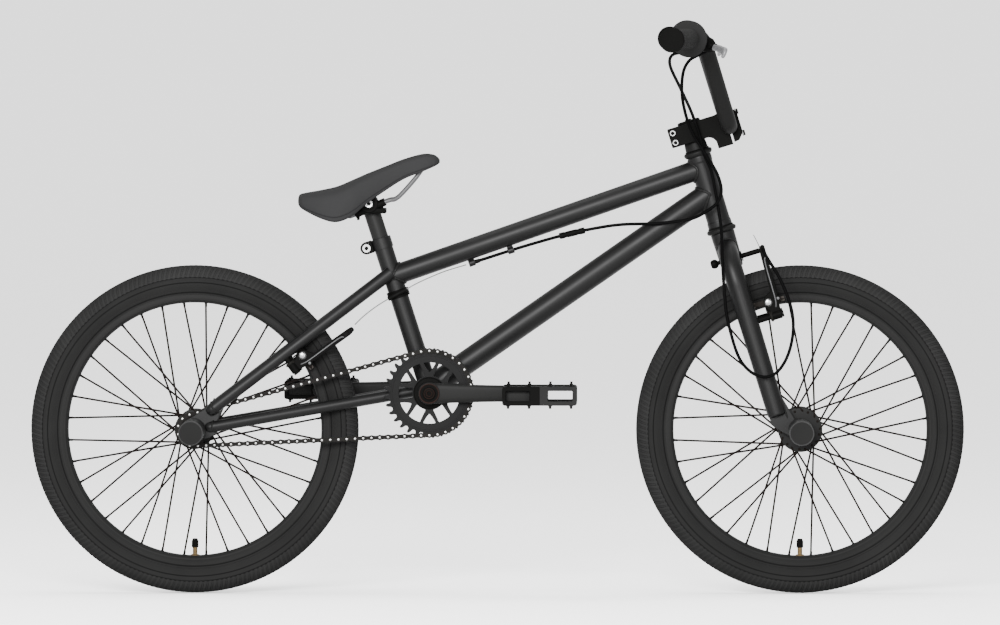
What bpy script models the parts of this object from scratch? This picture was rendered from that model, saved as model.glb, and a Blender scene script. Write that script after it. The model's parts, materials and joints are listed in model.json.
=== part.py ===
"""Freestyle BMX bicycle with 20 inch wheels, platform pedals, axle pegs and two linear-pull rim brakes.

Metres, +Z up. +X points the way the bicycle rides, +Y to the rider's left. The origin is on the ground,
halfway between the two axles. The drive side is the right side, -Y.
"""

import math

import bmesh
import bpy
from mathutils import Matrix, Vector

# Wheels
TYRE_RADIUS = 0.253
TYRE_HALF_WIDTH = 0.025
WHEEL_BASE = 0.9308
RIM_RADIUS = 0.2092
RIM_INNER_RADIUS = 0.195
RIM_HALF_WIDTH = 0.016
WHEEL_STEPS = 36
SPOKE_COUNT = 36
SPOKE_CROSS_ANGLE = math.radians(42)
SPOKE_RADIUS = 0.0011
SPOKE_END_RADIUS = 0.1937
GAP = 0.0003

# Steering
HEAD_ANGLE = math.radians(73)
FORK_OFFSET = 0.026
LEG_RADIUS = 0.0155
LEG_SETBACK = -0.0015
STEERER_RADIUS = 0.0143
HEAD_TUBE_LOW = 0.333
HEAD_TUBE_HIGH = 0.447
CROWN_TOP = 0.3240
CROWN_RADIUS = 0.0185
BAR_BORE_RADIUS = 0.0133
STEM_LOW = 0.4703
STEM_HIGH = 0.500
STEM_HALF_WIDTH = 0.025
BAR_FORWARD = 0.0575
BAR_UP = 0.478
BAR_RADIUS = 0.0127
CROSSBAR_UP = 0.556
CROSSBAR_HALF = 0.0997
CROSSBAR_RADIUS = 0.0080
GRIP_BAR_RADIUS = 0.0111
FRONT_AXLE_RADIUS = 0.005
REAR_AXLE_RADIUS = 0.007
CROWN_BOLT_UP = 0.281

# Drive
CHAIN_PITCH = 0.0127
RING_TEETH = 32
COG_TEETH = 12
CHAIN_LINKS = 80
CHAIN_LINE = -0.046
CHAIN_HALF_HEIGHT = 0.0041
CHAIN_HALF_WIDTH = 0.0041
SPROCKET_THICKNESS = 0.003
BOTTOM_BRACKET_DROP = -0.057
CRANK_LENGTH = 0.170
SPINDLE_RADIUS = 0.0095
SHELL_HALF_WIDTH = 0.034

# Frame
SEAT_TUBE_TOP = Vector((-0.178, 0.0, 0.5406))
SEAT_TUBE_RADIUS = 0.0143
SEAT_POST_RADIUS = 0.0127
DROPOUT_INNER = 0.055
DROPOUT_OUTER = 0.061

# Rim brakes, measured from the wheel's axle: along the arms, and away from the stay or leg
BRAKE_PIVOT = (0.180, 0.016)
BRAKE_PIVOT_Y = 0.0455
PAD_RADIUS = 0.2025

UP = Vector((0, 0, 1))
LEFT = Vector((0, 1, 0))
STEER_UP = Vector((-math.cos(HEAD_ANGLE), 0, math.sin(HEAD_ANGLE)))
STEER_FORWARD = Vector((math.sin(HEAD_ANGLE), 0, math.cos(HEAD_ANGLE)))
FRONT_AXLE = Vector((WHEEL_BASE / 2, 0, TYRE_RADIUS))
REAR_AXLE = Vector((-WHEEL_BASE / 2, 0, TYRE_RADIUS))
STEER_FOOT = FRONT_AXLE - FORK_OFFSET * STEER_FORWARD


def pitch_radius(teeth):
    return CHAIN_PITCH / (2 * math.sin(math.pi / teeth))


RING_RADIUS = pitch_radius(RING_TEETH)
COG_RADIUS = pitch_radius(COG_TEETH)


def chain_centres():
    """Distance between the sprockets that takes CHAIN_LINKS whole pitches of chain."""
    distance = 0.36
    for _ in range(20):
        lean = math.asin((RING_RADIUS - COG_RADIUS) / distance)
        ring_wrap = RING_TEETH * (math.pi + 2 * lean) / math.tau
        cog_wrap = COG_TEETH * (math.pi - 2 * lean) / math.tau
        straight = (CHAIN_LINKS - ring_wrap - cog_wrap) * CHAIN_PITCH
        distance = straight / 2 / math.cos(lean)
    return distance


CHAIN_CENTRES = chain_centres()
SHELL_FORWARD = math.sqrt(CHAIN_CENTRES**2 - BOTTOM_BRACKET_DROP**2)
CRANK_AXIS = REAR_AXLE + Vector((SHELL_FORWARD, 0, -BOTTOM_BRACKET_DROP))
SEAT_UP = (SEAT_TUBE_TOP - CRANK_AXIS).normalized()
SEAT_BORE_DEPTH = 0.16
SADDLE_PIVOT = SEAT_TUBE_TOP + 0.0625 * SEAT_UP
STAY_DIRECTION = Vector((0.795, 0, 0.6065)).normalized()
STAY_OUT = Vector((STAY_DIRECTION.z, 0, -STAY_DIRECTION.x))


def at_fork(up, forward=0.0, left=0.0):
    """A point measured along the steering axis, forward of it and to the left."""
    return STEER_FOOT + up * STEER_UP + forward * STEER_FORWARD + left * LEFT


def mirrored(point):
    return Vector((point.x, -point.y, point.z))


# Scene, materials and shapes


def clear_scene():
    for obj in list(bpy.data.objects):
        bpy.data.objects.remove(obj, do_unlink=True)


def collection(name):
    made = bpy.data.collections.new(name)
    bpy.context.scene.collection.children.link(made)
    return made


clear_scene()
PARTS = collection("bmx_bicycle")
CUTTERS = collection("cutters")
CUTTERS.hide_render = True


def paint(name, colour, roughness, metallic=0.0):
    made = bpy.data.materials.new(name)
    made.use_nodes = True
    shader = made.node_tree.nodes["Principled BSDF"]
    shader.inputs["Base Color"].default_value = (*colour, 1.0)
    shader.inputs["Roughness"].default_value = roughness
    shader.inputs["Metallic"].default_value = metallic
    made.diffuse_color = (*colour, 1.0)
    return made


FRAME_PAINT = paint("frame_paint", (0.032, 0.032, 0.032), 0.42)
BLACK_METAL = paint("black_anodised", (0.011, 0.011, 0.010), 0.40, 0.3)
TYRE_RUBBER = paint("tyre_rubber", (0.040, 0.040, 0.040), 0.85)
GRIP_RUBBER = paint("grip_rubber", (0.022, 0.022, 0.022), 0.75)
RIM_BLACK = paint("rim_black", (0.048, 0.048, 0.048), 0.45, 0.4)
STEEL = paint("bright_steel", (0.60, 0.60, 0.60), 0.28, 1.0)
CHAIN_STEEL = paint("chain_steel", (0.20, 0.20, 0.20), 0.38, 0.9)
BRASS = paint("valve_brass", (0.45, 0.30, 0.12), 0.35, 0.9)
VINYL = paint("saddle_vinyl", (0.082, 0.082, 0.085), 0.70)
PLASTIC = paint("pedal_plastic", (0.030, 0.030, 0.030), 0.60)
HOUSING = paint("cable_housing", (0.010, 0.010, 0.010), 0.45)


def helper(mesh, name="helper"):
    """A shape that is cut away, joined or turned into a part later on."""
    obj = bpy.data.objects.new(name, mesh)
    obj.hide_render = True
    obj.display_type = "WIRE"
    CUTTERS.objects.link(obj)
    return obj


def from_bmesh(shape, matrix=None):
    mesh = bpy.data.meshes.new("shape")
    if matrix is not None:
        bmesh.ops.transform(shape, matrix=matrix, verts=shape.verts)
    bmesh.ops.recalc_face_normals(shape, faces=shape.faces)
    shape.to_mesh(mesh)
    shape.free()
    return helper(mesh)


def realised(obj):
    """The object with its modifiers applied and its loose edges welded, as a new helper."""
    bpy.context.view_layer.update()
    graph = bpy.context.evaluated_depsgraph_get()
    mesh = bpy.data.meshes.new_from_object(obj.evaluated_get(graph))
    shape = bmesh.new()
    shape.from_mesh(mesh)
    bmesh.ops.transform(shape, matrix=obj.matrix_world, verts=shape.verts)
    bmesh.ops.remove_doubles(shape, verts=shape.verts, dist=0.000003)
    bmesh.ops.dissolve_degenerate(shape, edges=shape.edges, dist=0.000003)
    bpy.data.objects.remove(obj, do_unlink=True)
    return from_bmesh(shape)


def aimed(position, direction, side=LEFT):
    """A matrix whose local Z points along direction, and local X as near to side as it can."""
    z = direction.normalized()
    x = (side - side.dot(z) * z).normalized()
    return Matrix.Translation(position) @ Matrix((x, z.cross(x), z)).transposed().to_4x4()


def rod(start, end, radius, end_radius=None, sides=12):
    """A solid cylinder or cone between two points."""
    shape = bmesh.new()
    ends = (radius, radius if end_radius is None else end_radius)
    length = (end - start).length
    bmesh.ops.create_cone(
        shape, cap_ends=True, segments=sides, radius1=ends[0], radius2=ends[1], depth=length
    )
    side = LEFT if abs((end - start).normalized().y) < 0.9 else UP
    return from_bmesh(shape, aimed((start + end) / 2, end - start, side))


def block(centre, size, direction=UP, side=Vector((1, 0, 0))):
    """A box; its third size runs along direction and its first along side."""
    shape = bmesh.new()
    bmesh.ops.create_cube(shape, size=1.0)
    scale = Matrix.Diagonal((*size, 1.0))
    return from_bmesh(shape, aimed(centre, direction, side) @ scale)


def pipe(points, radius, sides=8, radii=None):
    """A round tube through the points."""
    curve = bpy.data.curves.new("pipe", "CURVE")
    curve.dimensions = "3D"
    curve.bevel_depth = radius
    curve.bevel_resolution = (sides - 4) // 2
    curve.use_fill_caps = True
    line = curve.splines.new("POLY")
    line.points.add(len(points) - 1)
    for index, point in enumerate(points):
        line.points[index].co = (*point, 1.0)
        line.points[index].radius = 1.0 if radii is None else radii[index] / radius
    obj = bpy.data.objects.new("pipe", curve)
    CUTTERS.objects.link(obj)
    return realised(obj)


def plate(outlines, thickness, origin, across, along):
    """A flat plate from closed outlines, given as (across, along) pairs; inner outlines are holes."""
    curve = bpy.data.curves.new("plate", "CURVE")
    curve.dimensions = "2D"
    curve.fill_mode = "BOTH"
    curve.extrude = thickness / 2
    for outline in outlines:
        line = curve.splines.new("POLY")
        line.points.add(len(outline) - 1)
        line.use_cyclic_u = True
        for index, (x, y) in enumerate(outline):
            line.points[index].co = (x, y, 0.0, 1.0)
    obj = bpy.data.objects.new("plate", curve)
    x, y = across.normalized(), along.normalized()
    axes = Matrix((x, y, x.cross(y))).transposed().to_4x4()
    obj.matrix_world = Matrix.Translation(origin) @ axes
    CUTTERS.objects.link(obj)
    return realised(obj)


def turned(profile, origin, axis, steps, closed=True):
    """A turned solid from (radius, height) pairs, with the height along the axis."""
    mesh = bpy.data.meshes.new("profile")
    points = [(radius, 0.0, height) for radius, height in profile]
    edges = [(i, i + 1) for i in range(len(points) - 1)]
    if closed:
        edges.append((len(points) - 1, 0))
    mesh.from_pydata(points, edges, [])
    obj = bpy.data.objects.new("turned", mesh)
    CUTTERS.objects.link(obj)
    screw = obj.modifiers.new("Screw", "SCREW")
    screw.steps = steps
    screw.render_steps = steps
    screw.use_merge_vertices = True
    screw.merge_threshold = 0.0001
    side = Vector((1, 0, 0)) if abs(axis.normalized().x) < 0.9 else UP
    obj.matrix_world = aimed(origin, axis, side)
    return realised(obj)


def combined(base, others, operation):
    """The base with the others joined to it or cut from it."""
    if not others:
        return base
    for other in others:
        modifier = base.modifiers.new("Boolean", "BOOLEAN")
        modifier.operation = operation
        modifier.solver = "EXACT"
        modifier.object = other
    result = realised(base)
    for other in others:
        bpy.data.objects.remove(other, do_unlink=True)
    return result


def part(name, pieces, material, axis_point=None, cuts=()):
    """One finished part: the pieces joined, the cuts taken away, its origin on its joint's axis."""
    solid = combined(pieces[0], pieces[1:], "UNION")
    solid = combined(solid, list(cuts), "DIFFERENCE")
    solid.name = name
    solid.data.name = name
    solid.hide_render = False
    solid.display_type = "TEXTURED"
    CUTTERS.objects.unlink(solid)
    PARTS.objects.link(solid)
    if axis_point is not None:
        solid.data.transform(Matrix.Translation(-axis_point))
        solid.location = axis_point
    solid.data.materials.clear()
    solid.data.materials.append(material)
    solid.data.shade_smooth()
    solid.data.set_sharp_from_angle(angle=math.radians(35))
    return solid


def circle(centre, radius, count, start=0.0, sweep=math.tau):
    """Points on a circle, or on an arc with both its ends."""
    steps = count if sweep == math.tau else count - 1
    angles = [start + sweep * i / steps for i in range(count)]
    return [(centre[0] + radius * math.cos(a), centre[1] + radius * math.sin(a)) for a in angles]


def smooth_route(points, spacing):
    """Evenly spaced points on a smooth curve through the given points."""
    ends = [2 * points[0] - points[1], *points, 2 * points[-1] - points[-2]]
    fine = []
    for a, b, c, d in zip(ends, ends[1:], ends[2:], ends[3:]):
        for step in range(12):
            t = step / 12
            curve = 2 * b + (c - a) * t + (2 * a - 5 * b + 4 * c - d) * t**2
            fine.append((curve + (3 * b - a - 3 * c + d) * t**3) / 2)
    fine.append(points[-1])
    total = sum((q - p).length for p, q in zip(fine, fine[1:]))
    count = round(total / spacing)
    route = [fine[0]]
    walked = 0.0
    for p, q in zip(fine, fine[1:]):
        length = (q - p).length
        while len(route) < count and walked + length >= len(route) * total / count:
            share = (len(route) * total / count - walked) / length
            route.append(p + share * (q - p))
        walked += length
    route.append(fine[-1])
    return route


# Wheels


def make_tyre(name, axle):
    side = [(0.2095, 0.017), (0.224, TYRE_HALF_WIDTH), (0.243, 0.0195), (TYRE_RADIUS, 0.006)]
    profile = side + [(radius, -width) for radius, width in reversed(side)]
    part(name, [turned(profile, axle, LEFT, WHEEL_STEPS)], TYRE_RUBBER, axle)


def make_rim(name, axle):
    side = [(RIM_INNER_RADIUS, 0.008), (0.199, RIM_HALF_WIDTH), (RIM_RADIUS, RIM_HALF_WIDTH)]
    profile = side + [(radius, -width) for radius, width in reversed(side)]
    part(name, [turned(profile, axle, LEFT, WHEEL_STEPS)], RIM_BLACK, axle)


def wheel_point(axle, radius, angle, left=0.0):
    return axle + Vector((radius * math.cos(angle), left, radius * math.sin(angle)))


def spokes(axle, flange_radius, left_flange, right_flange):
    """Crossed spokes, in turn to the left and to the right flange, half of them leading and half trailing."""
    made = []
    for index in range(SPOKE_COUNT):
        angle = math.tau * (index + 0.5) / SPOKE_COUNT
        lead = 1 if (index // 2) % 2 else -1
        left = (left_flange if index % 2 else right_flange) + lead * 0.0013
        start = wheel_point(axle, flange_radius, angle + lead * SPOKE_CROSS_ANGLE, left)
        made.append(rod(start, wheel_point(axle, SPOKE_END_RADIUS, angle), SPOKE_RADIUS, sides=4))
    return made


def make_front_hub():
    bore = FRONT_AXLE_RADIUS + 0.0006
    side = [
        (bore, 0.0497), (0.011, 0.0497), (0.011, 0.0385), (0.0338, 0.0385), (0.0338, 0.0355), (0.016, 0.033)
    ]
    profile = side + [(radius, -height) for radius, height in reversed(side)]
    hub = turned(profile, FRONT_AXLE, LEFT, 16)
    pieces = [hub, *spokes(FRONT_AXLE, 0.0295, 0.037, -0.037)]
    part("front_hub", pieces, BLACK_METAL, FRONT_AXLE)


def make_rear_hub():
    bore = REAR_AXLE_RADIUS + 0.0006
    profile = [
        (bore, 0.0547), (0.013, 0.0547), (0.013, 0.0395), (0.030, 0.0395), (0.030, 0.0365),
        (0.017, 0.034), (0.017, -0.026), (0.030, -0.0285), (0.030, -0.0315), (0.0165, -0.0315),
        (0.0165, -0.0547), (bore, -0.0547),
    ]
    hub = turned(profile, REAR_AXLE, LEFT, 16)
    pieces = [hub, *spokes(REAR_AXLE, 0.0265, 0.038, -0.030)]
    part("rear_hub", pieces, BLACK_METAL, REAR_AXLE)


def make_valve(name, axle):
    base = axle - (RIM_INNER_RADIUS - 0.0006) * UP
    profile = [(0, 0.026), (0.0053, 0.026), (0.0053, 0.012), (0.0038, 0.012), (0.0038, 0), (0, 0)]
    part(name, [turned(profile, base, UP, 8, closed=False)], BRASS, axle)


def make_peg(name, axle, inner, side, bore):
    """A closed-ended tube round the end of the axle."""
    profile = [(0, 0.110), (0.0175, 0.110), (0.019, 0.1085), (0.019, 0), (bore, 0), (bore, 0.024), (0, 0.024)]
    start = axle + side * inner * LEFT
    part(name, [turned(profile, start, side * LEFT, 16, closed=False)], FRAME_PAINT, axle)


# Steering


def fork_leg(side):
    """One straight leg with its bend into the crown."""
    path = [(0.299, 0.004), (0.296, 0.018), (0.287, 0.033), (0.272, 0.0445), (0.252, 0.0500), (0.033, 0.0530)]
    points = [at_fork(up, LEG_SETBACK * min(1, (0.31 - up) / 0.04), side * left) for up, left in path]
    radii = [LEG_RADIUS] * 5 + [LEG_RADIUS * 0.92]
    return pipe(points, LEG_RADIUS, 10, radii)


def fork_dropout(side):
    """The plate that holds the front axle, ahead of the leg's lower end."""
    round_end = circle((FORK_OFFSET, 0.0), 0.0165, 9, math.radians(-125), math.radians(225))
    outline = [(-0.014, 0.020), *round_end, (0.012, 0.062), (-0.014, 0.050)]
    centre = STEER_FOOT + side * 0.0532 * LEFT
    return plate([outline], 0.0056, centre, STEER_FORWARD, STEER_UP)


def brake_boss(axle, along, out, leg_out, side):
    """The welded stud that a brake arm turns on."""
    foot = axle + BRAKE_PIVOT[0] * along + side * BRAKE_PIVOT_Y * LEFT
    socket = rod(foot + leg_out * out, foot + (BRAKE_PIVOT[1] - 0.0103) * out, 0.0075, sides=10)
    pin = rod(foot + leg_out * out, foot + (BRAKE_PIVOT[1] + 0.0100) * out, 0.004, sides=10)
    return [socket, pin]


def make_fork():
    steerer = rod(at_fork(CROWN_TOP - 0.02), at_fork(STEM_HIGH - 0.002), STEERER_RADIUS, sides=16)
    crown = rod(at_fork(0.272), at_fork(CROWN_TOP), 0.0172, CROWN_RADIUS, sides=16)
    pieces = [crown, steerer]
    for side in (-1, 1):
        pieces.append(fork_leg(side))
        pieces.append(fork_dropout(side))
        setback = LEG_SETBACK - FORK_OFFSET
        pieces += brake_boss(FRONT_AXLE, STEER_UP, STEER_FORWARD, setback, side)
    bolt_hole = rod(at_fork(CROWN_BOLT_UP, -0.05), at_fork(CROWN_BOLT_UP, 0.05), 0.0042, sides=10)
    slot = block(at_fork(-0.012, FORK_OFFSET), (0.0108, 0.2, 0.030), STEER_UP, STEER_FORWARD)
    axle_hole = rod(FRONT_AXLE - 0.1 * LEFT, FRONT_AXLE + 0.1 * LEFT, 0.0056, sides=12)
    part("fork", pieces, FRAME_PAINT, STEER_FOOT, [bolt_hole, slot, axle_hole])


def make_headset():
    bore = STEERER_RADIUS + 0.0007
    low = HEAD_TUBE_LOW - GAP
    foot = CROWN_TOP + GAP
    lower = [(bore, low), (0.0200, low), (0.0228, 0.3305), (0.0228, 0.3268), (0.0205, foot), (bore, foot)]
    part("lower_headset_cup", [turned(lower, STEER_FOOT, STEER_UP, 16)], BLACK_METAL, STEER_FOOT)
    high = HEAD_TUBE_HIGH + GAP
    upper = [(bore, 0.4562), (0.0185, 0.4562), (0.022, 0.4545), (0.022, 0.4500), (0.0195, high), (bore, high)]
    part("upper_headset_cup", [turned(upper, STEER_FOOT, STEER_UP, 16)], BLACK_METAL, STEER_FOOT)
    spacer = [(bore, 0.4700), (0.0165, 0.4700), (0.0175, 0.4565), (bore, 0.4565)]
    part("headset_spacer", [turned(spacer, STEER_FOOT, STEER_UP, 16)], BLACK_METAL, STEER_FOOT)


def bar_bore():
    """The cylinder that clears the bar through the stem and its faceplate."""
    ends = [at_fork(BAR_UP, BAR_FORWARD, left) for left in (-0.1, 0.1)]
    return rod(*ends, BAR_BORE_RADIUS, sides=16)


def make_stem():
    """The stem's body: a bored block with an arch under its neck and half the bar's clamp at its front."""
    arch = circle((0.0195, 0.4575), 0.0130, 5, math.radians(90), math.radians(-90))
    outline = [
        (-0.0345, STEM_LOW), (0.0100, STEM_LOW), (0.0130, STEM_LOW), *arch, (0.0325, 0.4495),
        (0.0560, 0.4495), (0.0560, 0.5010), (0.0440, 0.5010), (0.0400, STEM_HIGH), (-0.0345, STEM_HIGH),
    ]
    body = plate([outline], 2 * STEM_HALF_WIDTH, STEER_FOOT, STEER_FORWARD, STEER_UP)
    bar = bar_bore()
    steerer = rod(at_fork(0.46), at_fork(0.51), STEERER_RADIUS + 0.0007, sides=16)
    pinch_slot = block(at_fork(0.485, -0.030), (0.040, 0.0024, 0.04), STEER_UP, STEER_FORWARD)
    part("stem", [body], BLACK_METAL, STEER_FOOT, [bar, steerer, pinch_slot])


def make_faceplate():
    """The front half of the bar's clamp."""
    outline = [
        (0.0590, 0.4520), (0.0665, 0.4530), (0.0752, 0.4640),
        (0.0752, 0.4950), (0.0715, 0.5010), (0.0590, 0.5010),
    ]
    body = plate([outline], 2 * STEM_HALF_WIDTH, STEER_FOOT, STEER_FORWARD, STEER_UP)
    bar = bar_bore()
    part("stem_faceplate", [body], BLACK_METAL, STEER_FOOT, [bar])


def make_top_cap():
    low = STEM_HIGH + GAP
    profile = [(0, 0.5050), (0.0165, 0.5050), (0.018, 0.5035), (0.018, low), (0, low)]
    part("stem_top_cap", [turned(profile, STEER_FOOT, STEER_UP, 16, closed=False)], BLACK_METAL, STEER_FOOT)


GRIP_START = Vector((0.2934, 0.229, 0.8535))
GRIP_END = Vector((0.2656, 0.355, 0.8523))
GRIP_OUT = (GRIP_END - GRIP_START).normalized()
GRIP_LENGTH = (GRIP_END - GRIP_START).length


def bar_side():
    """Centreline of the bar's left half, from the clamp to the grip's end, with the tube's radius."""
    path = [(0.0, BAR_UP, BAR_FORWARD), (0.036, BAR_UP, BAR_FORWARD), (0.048, 0.4815, BAR_FORWARD)]
    path += [(0.0575, 0.491, BAR_FORWARD), (0.068, 0.507, BAR_FORWARD), (0.123, 0.592, BAR_FORWARD)]
    path += [(0.132, 0.6045, 0.0570), (0.144, 0.6150, 0.0557), (0.158, 0.6200, 0.0535)]
    points = [at_fork(up, forward, left) for left, up, forward in path]
    radii = [BAR_RADIUS] * (len(points) - 1) + [0.0120]
    for run in (-0.057, 0.0, GRIP_LENGTH - 0.004):
        points.append(GRIP_START + run * GRIP_OUT)
        radii.append(GRIP_BAR_RADIUS)
    return points, radii


def make_handlebar():
    left, radii = bar_side()
    right = [mirrored(point) for point in left[:0:-1]]
    bar = pipe(right + left, BAR_RADIUS, 10, radii[:0:-1] + radii)
    ends = [at_fork(CROSSBAR_UP, BAR_FORWARD, side * CROSSBAR_HALF) for side in (-1, 1)]
    crossbar = rod(*ends, CROSSBAR_RADIUS, sides=10)
    part("handlebar", [bar, crossbar], FRAME_PAINT, STEER_FOOT)


def make_grip(name, side):
    """A flanged grip with its end plug, closed at the bar's end."""
    bore = GRIP_BAR_RADIUS + 0.0006
    end = GRIP_LENGTH
    profile = [
        (0, end), (0.0165, end), (0.0190, end - 0.002), (0.0190, end - 0.006), (0.0158, end - 0.007),
        (0.0154, 0.010), (0.0250, 0.004), (0.0280, 0.003), (0.0280, 0),
        (bore, 0), (bore, end - 0.0035), (0, end - 0.0035),
    ]
    start, out = GRIP_START.copy(), GRIP_OUT.copy()
    if side < 0:
        start, out = mirrored(start), mirrored(out)
    part(name, [turned(profile, start, out, 14, closed=False)], GRIP_RUBBER, STEER_FOOT)


LEVER_DOWN = math.radians(20)
LEVER_FORWARD = Vector((math.cos(LEVER_DOWN), 0, -math.sin(LEVER_DOWN)))
LEVER_CLAMP_RUN = -0.022
LEVER_REACH = 0.034
LEVER_CLAMP_RADIUS = 0.0165


def lever_frame(side):
    """The clamp's centre on the bar, the outward bar direction, and the lever's forward direction."""
    centre = GRIP_START + LEVER_CLAMP_RUN * GRIP_OUT
    out = GRIP_OUT.copy()
    if side < 0:
        centre, out = mirrored(centre), mirrored(out)
    forward = (LEVER_FORWARD - LEVER_FORWARD.dot(out) * out).normalized()
    return centre, out, forward


def make_lever(hand, side):
    """The clamped perch, and the two-finger blade that turns on it."""
    centre, out, forward = lever_frame(side)
    pivot = centre + LEVER_REACH * forward + 0.002 * out
    clamp = rod(centre - 0.009 * out, centre + 0.009 * out, LEVER_CLAMP_RADIUS, sides=14)
    arm = block(centre + 0.0225 * forward - 0.004 * out, (0.029, 0.016, 0.011), out, forward)
    nose_root = centre + 0.026 * forward - 0.010 * out
    nose_tip = centre + 0.024 * forward - 0.030 * out
    cable_nose = rod(nose_root, nose_tip, 0.0055, 0.0045, sides=8)
    bore = rod(centre - 0.03 * out, centre + 0.03 * out, GRIP_BAR_RADIUS + 0.0006, sides=14)
    part(f"brake_perch_{hand}", [clamp, arm, cable_nose], BLACK_METAL, pivot, [bore])
    heel = pivot + 0.0035 * out
    blade_points = [
        heel + 0.0045 * out,
        heel + 0.026 * out + 0.015 * forward,
        heel + 0.055 * out + 0.028 * forward,
        heel + 0.088 * out + 0.036 * forward,
    ]
    blade = pipe(blade_points, 0.0060, 8, [0.0048, 0.0055, 0.0060, 0.0078])
    part(f"brake_lever_{hand}", [blade], STEEL, pivot)


def make_crown_bolt():
    centre = at_fork(CROWN_BOLT_UP)
    profile = [
        (0, 0.0450), (0.0040, 0.0450), (0.0040, 0.0200), (0.0033, 0.0190), (0.0033, -0.0205),
        (0.0055, -0.0215), (0.0058, -0.0265), (0.0035, -0.0310), (0, -0.0310),
    ]
    part("crown_bolt", [turned(profile, centre, STEER_FORWARD, 10, closed=False)], BLACK_METAL, STEER_FOOT)


def make_axle(name, axle, radius, half_length):
    part(name, [rod(axle - half_length * LEFT, axle + half_length * LEFT, radius, sides=12)], STEEL, axle)


# Frame


def seat_stay(side):
    return rod(Vector((-0.164, side * 0.0160, 0.4936)), Vector((-0.435, side * 0.0635, 0.287)), 0.010, 0.0095)


def chain_stay(side):
    return rod(Vector((-0.106, side * 0.0222, 0.3155)), Vector((-0.4365, side * 0.0590, 0.2585)), 0.00875)


def rear_dropout(side):
    """The plate between the two stays, with its axle slot open to the rear."""
    heel = circle((REAR_AXLE.x, REAR_AXLE.z), 0.0185, 7, math.radians(120), math.radians(170))
    front = [(-0.4400, 0.2440), (-0.4270, 0.2500), (-0.4280, 0.2680), (-0.4200, 0.2930), (-0.4340, 0.2990)]
    outline = [*heel, *front]
    middle = side * (DROPOUT_INNER + DROPOUT_OUTER) / 2 * LEFT
    return plate([outline], DROPOUT_OUTER - DROPOUT_INNER, middle, Vector((1, 0, 0)), UP)


TOP_TUBE_REAR = Vector((-0.162, 0, 0.488))
TOP_TUBE_FRONT = Vector((0.3159, 0, 0.6545))
TOP_TUBE_RADIUS = 0.0159
DOWN_TUBE_FOOT = CRANK_AXIS + Vector((0, 0, 0.0062))
DOWN_TUBE_FRONT = Vector((0.3281, 0, 0.6169))
DOWN_TUBE_RADIUS = 0.0185
GUIDE_STOP = Vector((-0.0391, 0, 0.5085))
GUIDE_FRONT = Vector((0.0208, 0, 0.5278))


def cable_guide(centre):
    """A short tunnel under the top tube with the web that carries it."""
    along = (TOP_TUBE_FRONT - TOP_TUBE_REAR).normalized()
    above = along.cross(LEFT)
    tunnel = rod(centre - 0.005 * along, centre + 0.005 * along, 0.0052, sides=10)
    web = block(centre + 0.0075 * above, (0.009, 0.0035, 0.010), above, along)
    return [tunnel, web]


def make_frame():
    head = rod(at_fork(HEAD_TUBE_LOW), at_fork(HEAD_TUBE_HIGH), 0.018, sides=18)
    shell = rod(CRANK_AXIS - SHELL_HALF_WIDTH * LEFT, CRANK_AXIS + SHELL_HALF_WIDTH * LEFT, 0.0205, sides=16)
    pieces = [
        head,
        rod(TOP_TUBE_REAR, TOP_TUBE_FRONT, TOP_TUBE_RADIUS, sides=14),
        rod(DOWN_TUBE_FOOT, DOWN_TUBE_FRONT, DOWN_TUBE_RADIUS, sides=14),
        rod(CRANK_AXIS, SEAT_TUBE_TOP, SEAT_TUBE_RADIUS, sides=16),
        shell,
        rod(Vector((-0.237, -0.029, 0.438)), Vector((-0.237, 0.029, 0.438)), 0.006, sides=8),
        rod(Vector((-0.168, -0.030, 0.305)), Vector((-0.168, 0.030, 0.305)), 0.006, sides=8),
        *cable_guide(GUIDE_STOP),
        *cable_guide(GUIDE_FRONT),
    ]
    for side in (-1, 1):
        pieces += [seat_stay(side), chain_stay(side), rear_dropout(side)]
        pieces += brake_boss(REAR_AXLE, STAY_DIRECTION, STAY_OUT, -0.0085, side)
    along = (GUIDE_FRONT - GUIDE_STOP).normalized()
    post_foot = SEAT_TUBE_TOP - SEAT_BORE_DEPTH * SEAT_UP
    cuts = [
        rod(at_fork(0.30), at_fork(0.48), STEERER_RADIUS + 0.0012, sides=18),
        rod(CRANK_AXIS - 0.05 * LEFT, CRANK_AXIS + 0.05 * LEFT, 0.0178, sides=16),
        rod(post_foot, SEAT_TUBE_TOP + 0.02 * SEAT_UP, SEAT_POST_RADIUS + 0.0006, sides=16),
        rod(REAR_AXLE - 0.1 * LEFT, REAR_AXLE + 0.1 * LEFT, REAR_AXLE_RADIUS + 0.0006, sides=12),
        block(REAR_AXLE - Vector((0.015, 0, 0)), (0.030, 0.2, 0.0148)),
        rod(GUIDE_STOP - 0.0095 * along, GUIDE_FRONT + 0.02 * along, 0.0033, sides=10),
    ]
    part("frame", pieces, FRAME_PAINT, None, cuts)


def make_seat_clamp():
    """The collar that pinches the seat tube on the post, with its lug behind."""
    top = SEAT_TUBE_TOP + 0.0035 * SEAT_UP
    inner, outer = SEAT_POST_RADIUS + 0.0007, 0.0168
    sleeve = SEAT_TUBE_RADIUS + 0.0006
    profile = [
        (inner, 0.0030), (outer, 0.0030), (outer, -0.0140),
        (sleeve, -0.0140), (sleeve, -0.0032), (inner, -0.0032),
    ]
    ring = turned(profile, top, SEAT_UP, 16)
    back = LEFT.cross(SEAT_UP).normalized()
    if back.x > 0:
        back = -back
    round_end = circle((0.0250, -0.0055), 0.0095, 9, math.radians(-90), math.radians(180))
    lug = plate([[(0.0156, -0.0150), *round_end, (0.0156, 0.0040)]], 0.0180, top, back, SEAT_UP)
    split = block(top + 0.026 * back - 0.005 * SEAT_UP, (0.020, 0.0020, 0.03), SEAT_UP, back)
    part("seat_clamp", [ring, lug], BLACK_METAL, None, [split])


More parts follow.
